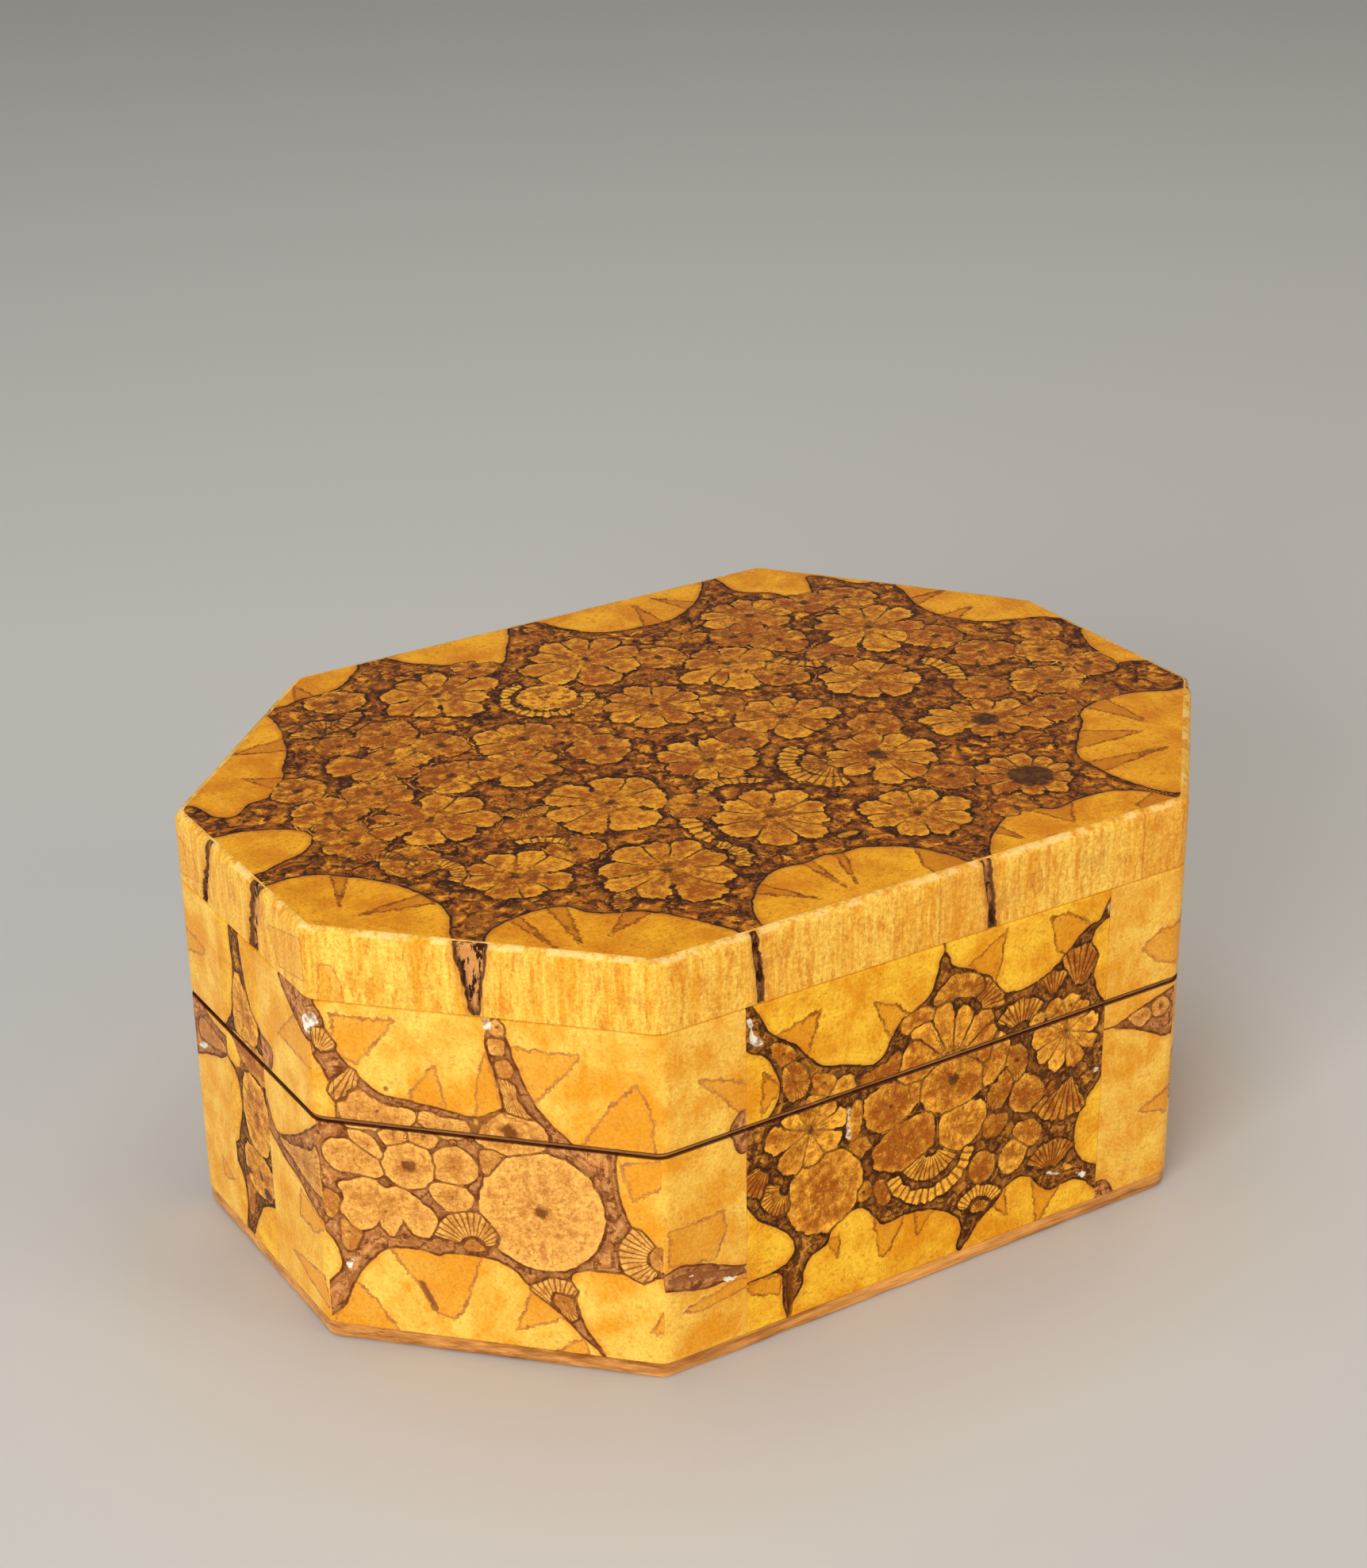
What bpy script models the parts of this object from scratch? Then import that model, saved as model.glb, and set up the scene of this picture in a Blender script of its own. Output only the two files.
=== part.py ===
"""A lidded trinket box with eight sides, put together from slices of burl wood.

Every wall is a thick slice of the wood. The four slices that close the corners run out to the
faces of their neighbours, so that their end grain shows there, and the four straight slices are
fitted in between them. The box was glued up whole and sawn through, which made the base and the
lid. The base keeps a lip along its inside, and the lid drops over it. Sizes are in metres, and
the box stands on Z = 0 with its long side along X.
"""

import math

import bmesh
import bpy
from mathutils import Matrix, Vector

# Outline, seen from above
LENGTH = 0.120
WIDTH = 0.088
# The four straight sides, whose ends the corner sides join up
FRONT_SIDE = 0.070
RIGHT_SIDE = 0.032
BACK_SIDE = 0.069
LEFT_SIDE = 0.0335
# How far the middle of each straight side lies from the box's middle, along X or Y
FRONT_SHIFT = 0.002
RIGHT_SHIFT = -0.002
BACK_SHIFT = 0.0025
LEFT_SHIFT = -0.00025

# Heights, from the table up
BOARD_THICKNESS = 0.0018
BASE_HEIGHT = 0.0283
RIM_HEIGHT = 0.0145
TOP_THICKNESS = 0.0087

# Walls and the lip that holds the lid in place
WALL_THICKNESS = 0.0072
LIP_THICKNESS = 0.0030
LIP_HEIGHT = 0.0035
LIP_SIDE_CLEARANCE = 0.0004
LIP_TOP_CLEARANCE = 0.0006

# Room for glue between pieces, and the saw cut under the lid
GLUE_GAP = 0.0003
SAW_GAP = 0.0003

# Worn edges
CORNER_RADIUS = 0.0030
TOP_EDGE_RADIUS = 0.0009
BOARD_EDGE_RADIUS = 0.0005
ARC_STEPS = 6
EDGE_STEPS = 3

# How far a cutter runs past the wood, and how close points are joined
CUTTER_OVERRUN = 0.002
WELD_DISTANCE = 0.00001
FLAT_ANGLE = math.radians(0.5)
SHARP_ANGLE = math.radians(20)

SIDES = ("front", "front_right", "right", "back_right", "back", "back_left", "left", "front_left")
TOP_OF_LID = BASE_HEIGHT + RIM_HEIGHT + TOP_THICKNESS


def clear_scene():
    """Removes every object that the file opened with."""
    for old in list(bpy.data.objects):
        bpy.data.objects.remove(old)


def new_collection(name):
    """A collection in the scene."""
    made = bpy.data.collections.new(name)
    bpy.context.scene.collection.children.link(made)
    return made


def wood(name, colour, roughness):
    """A plain wood finish."""
    material = bpy.data.materials.new(name)
    material.use_nodes = True
    shader = material.node_tree.nodes["Principled BSDF"]
    shader.inputs["Base Color"].default_value = (*colour, 1.0)
    shader.inputs["Roughness"].default_value = roughness
    shader.inputs["Metallic"].default_value = 0.0
    return material


def box_corners():
    """The eight corners of the outline, anticlockwise, from the left end of the front side."""
    right, back = LENGTH / 2, WIDTH / 2
    return [
        Vector((FRONT_SHIFT - FRONT_SIDE / 2, -back)),
        Vector((FRONT_SHIFT + FRONT_SIDE / 2, -back)),
        Vector((right, RIGHT_SHIFT - RIGHT_SIDE / 2)),
        Vector((right, RIGHT_SHIFT + RIGHT_SIDE / 2)),
        Vector((BACK_SHIFT + BACK_SIDE / 2, back)),
        Vector((BACK_SHIFT - BACK_SIDE / 2, back)),
        Vector((-right, LEFT_SHIFT + LEFT_SIDE / 2)),
        Vector((-right, LEFT_SHIFT - LEFT_SIDE / 2)),
    ]


def side_line(side, depth):
    """A point and the direction of a side's line, moved into the box by depth."""
    corners = box_corners()
    start = corners[side % len(corners)]
    along = (corners[(side + 1) % len(corners)] - start).normalized()
    inwards = Vector((-along.y, along.x))
    return start + inwards * depth, along


def crossing(first, second):
    """Where two lines cross, each given as a point and a direction."""
    point_a, along_a = first
    point_b, along_b = second
    share = (point_b - point_a).cross(along_b) / along_a.cross(along_b)
    return point_a + along_a * share


def octagon(depth):
    """The outline with all its sides moved into the box by depth."""
    return [crossing(side_line(side - 1, depth), side_line(side, depth)) for side in range(len(SIDES))]


def rounded(outline, radii):
    """An anticlockwise outline with its corners turned into arcs, and kept sharp where the radius is 0."""
    points = []
    for index, corner in enumerate(outline):
        radius = radii[index]
        if radius == 0:
            points.append(corner)
            continue
        towards_last = (outline[index - 1] - corner).normalized()
        towards_next = (outline[(index + 1) % len(outline)] - corner).normalized()
        half_angle = towards_last.angle(towards_next) / 2
        centre = corner + (towards_last + towards_next).normalized() * radius / math.sin(half_angle)
        spoke = corner + towards_last * radius / math.tan(half_angle) - centre
        turn = math.pi - 2 * half_angle
        for step in range(ARC_STEPS + 1):
            points.append(centre + Matrix.Rotation(turn * step / ARC_STEPS, 2) @ spoke)
    return points


def rounded_octagon():
    """The outside of the box with its worn corners."""
    return rounded(octagon(0), [CORNER_RADIUS] * len(SIDES))


def wall_outline(side):
    """The plan of one wall slice.

    A corner slice runs out to its neighbours' faces, and a straight slice fits between two of them.
    """
    outer = side_line(side, 0)
    inner = side_line(side, WALL_THICKNESS)
    if side % 2 == 1:
        last_end, next_end = side_line(side - 1, 0), side_line(side + 1, 0)
        radii = [CORNER_RADIUS, CORNER_RADIUS, 0, 0]
    else:
        last_end = side_line(side - 1, WALL_THICKNESS + GLUE_GAP)
        next_end = side_line(side + 1, WALL_THICKNESS + GLUE_GAP)
        radii = [0, 0, 0, 0]
    ends = [(outer, last_end), (outer, next_end), (inner, next_end), (inner, last_end)]
    return rounded([crossing(face, end) for face, end in ends], radii)


def prism(name, outlines, low, high, collection):
    """A board from low to high as a closed mesh. The first outline goes around it, and the next is a hole."""
    curve = bpy.data.curves.new(name, "CURVE")
    curve.dimensions = "2D"
    curve.fill_mode = "BOTH"
    curve.extrude = (high - low) / 2
    for outline in outlines:
        spline = curve.splines.new("POLY")
        spline.points.add(len(outline) - 1)
        for point, place in zip(spline.points, outline):
            point.co = (place.x, place.y, 0, 1)
        spline.use_cyclic_u = True
    drawn = bpy.data.objects.new(name + "_drawn", curve)
    collection.objects.link(drawn)
    drawn.location.z = (low + high) / 2
    bpy.context.view_layer.update()
    mesh = bpy.data.meshes.new_from_object(drawn.evaluated_get(bpy.context.evaluated_depsgraph_get()))
    mesh.name = name
    solid = bpy.data.objects.new(name, mesh)
    collection.objects.link(solid)
    solid.matrix_world = drawn.matrix_world.copy()
    bpy.data.objects.remove(drawn)
    work = bmesh.new()
    work.from_mesh(mesh)
    bmesh.ops.remove_doubles(work, verts=work.verts, dist=WELD_DISTANCE)
    bmesh.ops.dissolve_limit(work, angle_limit=FLAT_ANGLE, verts=work.verts, edges=work.edges)
    bmesh.ops.recalc_face_normals(work, faces=work.faces)
    work.to_mesh(mesh)
    work.free()
    return solid


def round_level_edge(solid, upwards, radius):
    """Rounds the edge around the upper or the lower face of a board."""
    mesh = solid.data
    heights = [vertex.co.z for vertex in mesh.vertices]
    level = max(heights) if upwards else min(heights)
    weights = mesh.attributes.new("bevel_weight_edge", "FLOAT", "EDGE")
    for edge in mesh.edges:
        if all(abs(heights[end] - level) < WELD_DISTANCE for end in edge.vertices):
            weights.data[edge.index].value = 1.0
    bevel = solid.modifiers.new("worn edge", "BEVEL")
    bevel.limit_method = "WEIGHT"
    bevel.width = radius
    bevel.segments = EDGE_STEPS
    bevel.use_clamp_overlap = False


def cut(solid, cutter):
    """Takes the cutter's space out of a solid."""
    boolean = solid.modifiers.new("cut with " + cutter.name, "BOOLEAN")
    boolean.operation = "DIFFERENCE"
    boolean.solver = "EXACT"
    boolean.object = cutter


def finish(solid, material):
    """Gives a solid its material and leaves the rounded corners smooth."""
    solid.data.materials.clear()
    solid.data.materials.append(material)
    solid.data.shade_smooth()
    solid.data.set_sharp_from_angle(angle=SHARP_ANGLE)


def as_cutter(solid):
    """Marks a solid as a tool that isn't part of the box."""
    solid.hide_render = True
    solid.display_type = "WIRE"
    return solid


def lip_cutters(collection):
    """The tools that cut the step outside the base's lip, and the room for the lip in the lid."""
    step_outlines = [octagon(-CUTTER_OVERRUN), octagon(WALL_THICKNESS - LIP_THICKNESS)]
    step_top = BASE_HEIGHT + LIP_HEIGHT + CUTTER_OVERRUN
    step = prism("step_cutter", step_outlines, BASE_HEIGHT, step_top, collection)
    room_outline = octagon(WALL_THICKNESS - LIP_THICKNESS - LIP_SIDE_CLEARANCE)
    room_top = BASE_HEIGHT + LIP_HEIGHT + LIP_TOP_CLEARANCE
    room = prism("lip_room_cutter", [room_outline], BASE_HEIGHT - CUTTER_OVERRUN, room_top, collection)
    return as_cutter(step), as_cutter(room)


def build_base(collection, step_cutter, board_wood, wall_wood):
    """The bottom board and the eight base walls with their lip."""
    board = prism("bottom_board", [rounded_octagon()], 0, BOARD_THICKNESS, collection)
    round_level_edge(board, False, BOARD_EDGE_RADIUS)
    finish(board, board_wood)
    foot = BOARD_THICKNESS + GLUE_GAP
    lip_top = BASE_HEIGHT + LIP_HEIGHT
    for side, place in enumerate(SIDES):
        wall = prism("base_wall_" + place, [wall_outline(side)], foot, lip_top, collection)
        cut(wall, step_cutter)
        finish(wall, wall_wood)


def build_lid(collection, room_cutter, wall_wood, top_wood):
    """The eight rim slices of the lid and the thick slice on top."""
    foot = BASE_HEIGHT + SAW_GAP
    underside = BASE_HEIGHT + RIM_HEIGHT
    for side, place in enumerate(SIDES):
        rim = prism("lid_rim_" + place, [wall_outline(side)], foot, underside, collection)
        cut(rim, room_cutter)
        finish(rim, wall_wood)
    top = prism("lid_top", [rounded_octagon()], underside + GLUE_GAP, TOP_OF_LID, collection)
    round_level_edge(top, True, TOP_EDGE_RADIUS)
    finish(top, top_wood)


def main():
    """Builds the whole box."""
    clear_scene()
    box = new_collection("burl wood box")
    tools = new_collection("cutters")
    board_wood = wood("bottom board", (0.36, 0.17, 0.06), 0.5)
    wall_wood = wood("wall slice", (0.78, 0.46, 0.10), 0.3)
    top_wood = wood("top slice", (0.36, 0.17, 0.04), 0.25)
    step_cutter, room_cutter = lip_cutters(tools)
    build_base(box, step_cutter, board_wood, wall_wood)
    build_lid(box, room_cutter, wall_wood, top_wood)


main()
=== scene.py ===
"""The lidded burl wood box as it looks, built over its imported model.

Every slice of wood is a surface on a fine grid. The forms of the burl, such as lobes, rosettes and fans, are
drawn on the plan of each face in millimetres, and each point of a grid keeps how far it is from them. The
finishes turn those distances into colour, gloss and relief.
"""
import logging
import math
from dataclasses import dataclass, field, replace
from enum import Enum

import bpy
import numpy as np
from mathutils import Matrix, Vector


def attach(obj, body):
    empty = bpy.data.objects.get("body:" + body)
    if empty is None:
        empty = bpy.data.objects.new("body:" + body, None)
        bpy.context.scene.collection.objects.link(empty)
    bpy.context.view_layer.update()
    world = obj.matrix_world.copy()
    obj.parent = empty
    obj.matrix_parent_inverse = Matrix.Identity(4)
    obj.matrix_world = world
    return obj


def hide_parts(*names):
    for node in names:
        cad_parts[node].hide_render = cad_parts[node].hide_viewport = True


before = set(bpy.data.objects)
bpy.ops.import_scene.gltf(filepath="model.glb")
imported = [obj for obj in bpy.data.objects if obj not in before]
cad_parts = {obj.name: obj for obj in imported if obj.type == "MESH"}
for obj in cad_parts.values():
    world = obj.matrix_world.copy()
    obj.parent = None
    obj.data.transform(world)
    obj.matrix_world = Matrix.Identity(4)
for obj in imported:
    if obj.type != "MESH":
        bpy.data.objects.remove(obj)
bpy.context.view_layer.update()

MM = 0.001
LOG = logging.getLogger("burl box")

Points = np.ndarray
Place = tuple[float, float]
Place3 = tuple[float, float, float]


class Side(Enum):
    """The eight sides of the box, anticlockwise from the front."""

    FRONT = 0
    FRONT_RIGHT = 1
    RIGHT = 2
    BACK_RIGHT = 3
    BACK = 4
    BACK_LEFT = 5
    LEFT = 6
    FRONT_LEFT = 7


class Form(Enum):
    """What a form in the wood's figure is."""

    LOBE = 0
    PETAL = 1
    DISC = 2
    COMB = 3
    CELL = 4


# Outline of the box in millimetres, anticlockwise from the left end of the front side
CORNERS = np.array([(-33.0, -44.0), (37.0, -44.0), (60.0, -18.0), (60.0, 14.0),
                    (37.0, 44.0), (-32.0, 44.0), (-60.0, 16.5), (-60.0, -17.0)])
CORNER_RADIUS = 2.6
ARC_POINTS = 24
WALL = 7.2
LIP_DEPTH = 4.2


def smooth_loop(points: list[Place] | Points, steps: int = 6) -> Points:
    """A closed curve through the points, each stretch a Catmull-Rom cubic of its four nearest points.

    Args:
        points: the places the curve goes through, in order.
        steps: how many points each stretch gets.

    Returns:
        The curve's points, one row each.
    """
    here = np.asarray(points, float)[:, None]
    last, after, beyond = np.roll(here, 1, 0), np.roll(here, -1, 0), np.roll(here, -2, 0)
    t = (np.arange(steps) / steps)[None, :, None]
    curve = (2 * here + (after - last) * t + (2 * last - 5 * here + 4 * after - beyond) * t**2
             + (3 * here - last - 3 * after + beyond) * t**3) / 2
    return curve.reshape(-1, 2)


def signed_distance(loop: Points, at: Points) -> Points:
    """How far each place is from a closed line, positive inside it.

    The distance is the smallest to any stretch of the line, and a place is inside when a level ray from it
    crosses the line an odd number of times.

    Args:
        loop: the line's points.
        at: the places, one row each.

    Returns:
        One signed distance for each place.
    """
    end = np.roll(loop, -1, 0)
    run = end - loop
    rel_x, rel_y = at[:, :1] - loop[:, 0], at[:, 1:] - loop[:, 1]
    share = np.clip((rel_x * run[:, 0] + rel_y * run[:, 1]) / np.maximum((run**2).sum(1), 1e-9), 0, 1)
    gap = np.sqrt(((rel_x - share * run[:, 0])**2 + (rel_y - share * run[:, 1])**2).min(1))
    spans = (loop[:, 1] > at[:, 1:]) != (end[:, 1] > at[:, 1:])
    rise = np.where(np.abs(run[:, 1]) < 1e-9, 1e-9, run[:, 1])
    inside = (spans & (rel_x < rel_y / rise * run[:, 0])).sum(1) % 2 == 1
    return np.where(inside, gap, -gap)


@dataclass(frozen=True)
class Shape:
    """One form of the figure: its outline, the place its rays come from and what kind of wood it is."""

    form: Form
    loop: Points
    heart: Place
    gold: float = 0.0
    comb: float = 0.0
    pith: float = 0.0
    wedges: tuple[Points, ...] = ()
    over: bool = False


def inlaid(shape: Shape) -> Shape:
    """The same form, drawn over the one it lies in."""
    return replace(shape, over=True)


def lobe(points: list[Place], heart: Place, *wedges: list[Place], gold: float = 1.0) -> Shape:
    """A big yellow lobe with the darker wedges that run into it."""
    cut = tuple(np.asarray(wedge, float) for wedge in wedges)
    return Shape(Form.LOBE, smooth_loop(points), heart, gold, wedges=cut)


def petal(heart: Place, angle: float, length: float, width: float, gold: float, pith: float) -> Shape:
    """One petal of a rosette, a wedge that widens from the heart to three quarters out and ends round.

    Args:
        heart: the rosette's middle.
        angle: the petal's direction in radians.
        length: how far its tip lies from the heart.
        width: half its widest part.
        gold: how yellow its wood is.
        pith: the radius of the dark heart.

    Returns:
        The finished form.
    """
    share = np.array([0.02, 0.3, 0.6, 0.72, 0.79, 0.86, 0.92, 0.97, 0.995])
    swell = np.where(share < 0.72, share / 0.72, np.sqrt(np.maximum(1 - ((share - 0.72) / 0.28)**2, 0)))
    along, aside = length * np.append(share, share[::-1]), width * np.append(-swell, swell[::-1])
    way = np.array([math.cos(angle), math.sin(angle)])
    loop = np.array(heart) + along[:, None] * way + aside[:, None] * np.array([-way[1], way[0]])
    return Shape(Form.PETAL, loop, heart, gold, pith=pith)


def rosette(x: float, y: float, radius: float, petals: int | list[Place], turn: float = 0.0,
            gold: float = 0.3, pith: float = 0.5) -> list[Shape]:
    """A rosette of petals around a heart, each as wide as the room between its neighbours.

    Args:
        x: the heart's first coordinate.
        y: its second.
        radius: the petals' length, or what scales their lengths where they are listed.
        petals: how many even petals, or the angle in degrees and the length of each.
        turn: the first petal's angle in degrees.
        gold: how yellow the wood is.
        pith: the radius of the dark heart.

    Returns:
        One form for each petal.
    """
    if isinstance(petals, int):
        wobble = np.random.default_rng(int(abs(x) * 37 + abs(y) * 101 + petals))
        angles = turn + 360.0 / petals * (np.arange(petals) + wobble.uniform(-0.24, 0.24, petals))
        lengths = radius * wobble.uniform(0.82, 1.12, petals)
    else:
        listed = sorted(petals)
        angles, lengths = np.array([angle for angle, _ in listed]) + turn, np.array([size for _,
                size in listed]) * radius
    angles = np.radians(angles)
    room = np.append(angles[1:], angles[0] + 2 * math.pi) - angles
    half = np.minimum((room + np.roll(room, 1)) / 4, 0.8)
    widths = lengths * np.minimum(0.76 * np.tan(half), 0.5)
    return [petal((x, y), *sizes, gold, pith) for sizes in zip(angles, lengths, widths)]


def disc(x: float, y: float, width: float, height: float, pith: float = 0.6, gold: float = 0.45) -> Shape:
    """A round slice through a shoot, an ellipse with its pith in the middle.

    Args:
        x: the middle's first coordinate.
        y: its second.
        width: half the ellipse's width.
        height: half its height.
        pith: the pith's radius.
        gold: how yellow the wood is.

    Returns:
        The finished form.
    """
    turns = np.linspace(0, 2 * math.pi, 49)[:-1]
    loop = np.stack([x + width * np.cos(turns), y + height * np.sin(turns)], 1)
    return Shape(Form.DISC, loop, (x, y), gold, pith=pith)


def fan(x: float, y: float, inner: float, outer: float, start: float, end: float,
        gold: float = 0.35) -> Shape:
    """A fan or a crescent of ribs around a place.

    Args:
        x: the place's first coordinate.
        y: its second.
        inner: the smaller radius.
        outer: the larger one.
        start: the first angle in degrees.
        end: the last.
        gold: how yellow the wood is.

    Returns:
        The finished form.
    """
    turns = np.radians(np.linspace(start, end, 17))
    rim = np.stack([x + outer * np.cos(turns), y + outer * np.sin(turns)], 1)
    foot = np.stack([x + inner * np.cos(turns[::-1]), y + inner * np.sin(turns[::-1])], 1)
    return Shape(Form.COMB, np.concatenate([rim, foot]), (x, y), gold, comb=1.0)


def cell(points: list[Place], gold: float = 0.3, comb: float = 0.0) -> Shape:
    """A small rounded cell.

    Args:
        points: its corners, in order.
        gold: how yellow its wood is.
        comb: how strongly it is ribbed.

    Returns:
        The finished form.
    """
    loop = smooth_loop(points, 4)
    middle = loop.mean(0)
    return Shape(Form.CELL, loop, (float(middle[0]), float(middle[1])), gold, comb)


def mirrored(shape: Shape, length: float) -> Shape:
    """The same form seen in a mirror.

    Args:
        shape: the form.
        length: the face's length, over which it is turned round.

    Returns:
        The form turned round.
    """
    flip = np.array([-1.0, 1.0])
    shift = np.array([length, 0.0])
    return replace(shape, loop=shape.loop[::-1] * flip + shift,
                   heart=(length - shape.heart[0], shape.heart[1]),
                   wedges=tuple(wedge * flip + shift for wedge in shape.wedges))


# The split between base and lid, in millimetres above the floor
SPLIT = 28.45


@dataclass
class Figure:
    """All that is drawn on one face: its forms, its open cracks and its pale filler chips."""

    forms: list[Shape | list[Shape]] = field(default_factory=list)
    cracks: list[Points] = field(default_factory=list)
    chips: list[Points] = field(default_factory=list)

    def shapes(self, above: bool | None = None) -> list[Shape]:
        """The single forms. Lobes stop at the split between base and lid.

        Args:
            above: True leaves out the base's lobes, False the lid's, and None leaves out nothing.

        Returns:
            The forms in their drawn order.
        """
        single = [shape for form in self.forms for shape in (form if isinstance(form, list) else [form])]
        return [shape for shape in single
                if above is None or shape.form is not Form.LOBE or (shape.heart[1] > SPLIT) == above]

    def mirror(self, length: float) -> "Figure":
        """The figure seen in a mirror, without its chips."""
        flip, shift = np.array([-1.0, 1.0]), np.array([length, 0.0])
        return Figure([mirrored(shape, length) for shape in self.shapes()],
                      [crack * flip + shift for crack in self.cracks])


# How many millimetres from a form a point still counts as near it
NEAR_LIMIT = 5.0
# How far in its middle a form drawn over another counts as its own, in millimetres
OVER = 0.1


class Reading:
    """What each point of a surface keeps of the figure: distances in millimetres and kinds of wood."""

    def __init__(self, count: int) -> None:
        """Starts with no form near any point.

        Args:
            count: how many points the surface has.
        """
        self.near = np.full(count, -NEAR_LIMIT)
        self.second = np.full(count, -NEAR_LIMIT)
        self.order = np.zeros(count, int)
        self.second_order = np.zeros(count, int)
        self.spoke = np.zeros((count, 3))
        self.kind = np.zeros((count, 3))
        self.wedge = np.full(count, -NEAR_LIMIT)
        self.crack = np.full(count, -NEAR_LIMIT)
        self.chip = np.full(count, -NEAR_LIMIT)

    def read(self, figure: Figure, at: Points, chosen: Points, above: bool | None = None) -> None:
        """Measures the chosen points against a figure. The nearest form and the next are kept for each point.

        Args:
            figure: the forms drawn on the face.
            at: the points' places on the face.
            chosen: the points' numbers in the surface.
            above: which lobes count, as the figure's shapes take it.
        """
        for number, shape in enumerate(figure.shapes(above), 1):
            low, high = shape.loop.min(0) - NEAR_LIMIT, shape.loop.max(0) + NEAR_LIMIT
            close = np.flatnonzero(((at > low) & (at < high)).all(1))
            if not len(close):
                continue
            here, gap = chosen[close], signed_distance(shape.loop, at[close]) + (OVER if shape.over else 0.0)
            nearest = gap > (OVER if shape.over else self.near[here])
            next_best = ~nearest & (gap > self.second[here])
            self.second[here[next_best]], self.second_order[here[next_best]] = gap[next_best], number
            here, gap, local = here[nearest], gap[nearest], at[close][nearest] - shape.heart
            self.second[here], self.second_order[here] = self.near[here], self.order[here]
            self.near[here], self.order[here] = gap, number
            self.spoke[here] = np.column_stack([local, np.full(len(here), number * 3.7)])
            self.kind[here] = shape.gold, shape.comb, shape.pith
            self.wedge[here] = self.most([signed_distance(wedge,
                    at[close][nearest]) for wedge in shape.wedges], len(here))
        for loops, kept in ((figure.cracks, self.crack), (figure.chips, self.chip)):
            for loop in loops:
                close = ((at > loop.min(0) - NEAR_LIMIT) & (at < loop.max(0) + NEAR_LIMIT)).all(1)
                kept[chosen[close]] = np.maximum(kept[chosen[close]], signed_distance(loop, at[close]))

    @staticmethod
    def most(gaps: list[Points], count: int) -> Points:
        """The largest of several distances at each point, or far outside if there are none."""
        return np.max(gaps, 0) if gaps else np.full(count, -NEAR_LIMIT)

    def attributes(self) -> dict[str, Points]:
        """The kept values as vectors.

        Returns:
            For each attribute's name, one row for each point.
        """
        ridge = (self.near - self.second) / 2 * np.where(self.order > self.second_order, 1, -1)
        return {
            "gap": np.stack([self.near, ridge, self.second], 1),
            "spoke": self.spoke,
            "kind": self.kind,
            "flaw": np.stack([self.crack, self.chip, self.wedge], 1),
        }


class Outline:
    """The box's outline with rounded corners, walked by the length along its sharp sides."""

    def __init__(self, corners: Points, radius: float) -> None:
        """Lays out the walk.

        Each corner's arc turns evenly from one side's heading to the next. Its first half belongs to the side
        it ends and its second half to the side it starts.

        Args:
            corners: the sharp corners in millimetres, anticlockwise.
            radius: the corners' rounding.
        """
        run = np.roll(corners, -1, 0) - corners
        lengths = np.hypot(run[:, 0], run[:, 1])
        heading = np.unwrap(np.arctan2(run[:, 1], run[:, 0]))
        arriving = np.append(heading[-1] - 2 * math.pi, heading[:-1])
        reach = radius * np.tan((heading - arriving) / 2)
        self.starts = np.append(0.0, np.cumsum(lengths))
        share = np.linspace(0, 1, ARC_POINTS)
        turning = arriving[:, None] + (heading - arriving)[:, None] * share
        back = np.stack([np.cos(arriving), np.sin(arriving)], 1) * reach[:, None]
        sweep = np.stack([np.sin(turning) - np.sin(arriving)[:, None],
                          np.cos(arriving)[:, None] - np.cos(turning)], 2)
        place = (corners - back)[:, None] + radius * sweep
        walk = self.starts[:-1, None] + reach[:, None] * (2 * share - 1)
        laps = range(-1, 3)
        self.walk = np.concatenate([walk.ravel() + lap * self.starts[-1] for lap in laps])
        self.turning = np.concatenate([turning.ravel() + lap * 2 * math.pi for lap in laps])
        self.place = np.tile(place.reshape(-1, 2), (len(laps), 1))

    def at(self, walk: Points) -> tuple[Points, Points]:
        """Walks along the outline.

        Args:
            walk: the walked lengths.

        Returns:
            The outline's places at those lengths, and its outward directions there.
        """
        turning = np.interp(walk, self.walk, self.turning)
        place = np.stack([np.interp(walk, self.walk, self.place[:, axis]) for axis in (0, 1)], 1)
        return place, np.stack([np.sin(turning), -np.cos(turning)], 1)

    def side_of(self, walk: Points) -> tuple[Points, Points]:
        """Finds the side at each walked length.

        Args:
            walk: the walked lengths.

        Returns:
            The sides' numbers, and the lengths from each side's first corner.
        """
        lap = np.mod(walk, self.starts[-1])
        side = np.searchsorted(self.starts, lap, "right") - 1
        return side, lap - self.starts[side]


OUTLINE = Outline(CORNERS, CORNER_RADIUS)


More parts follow.
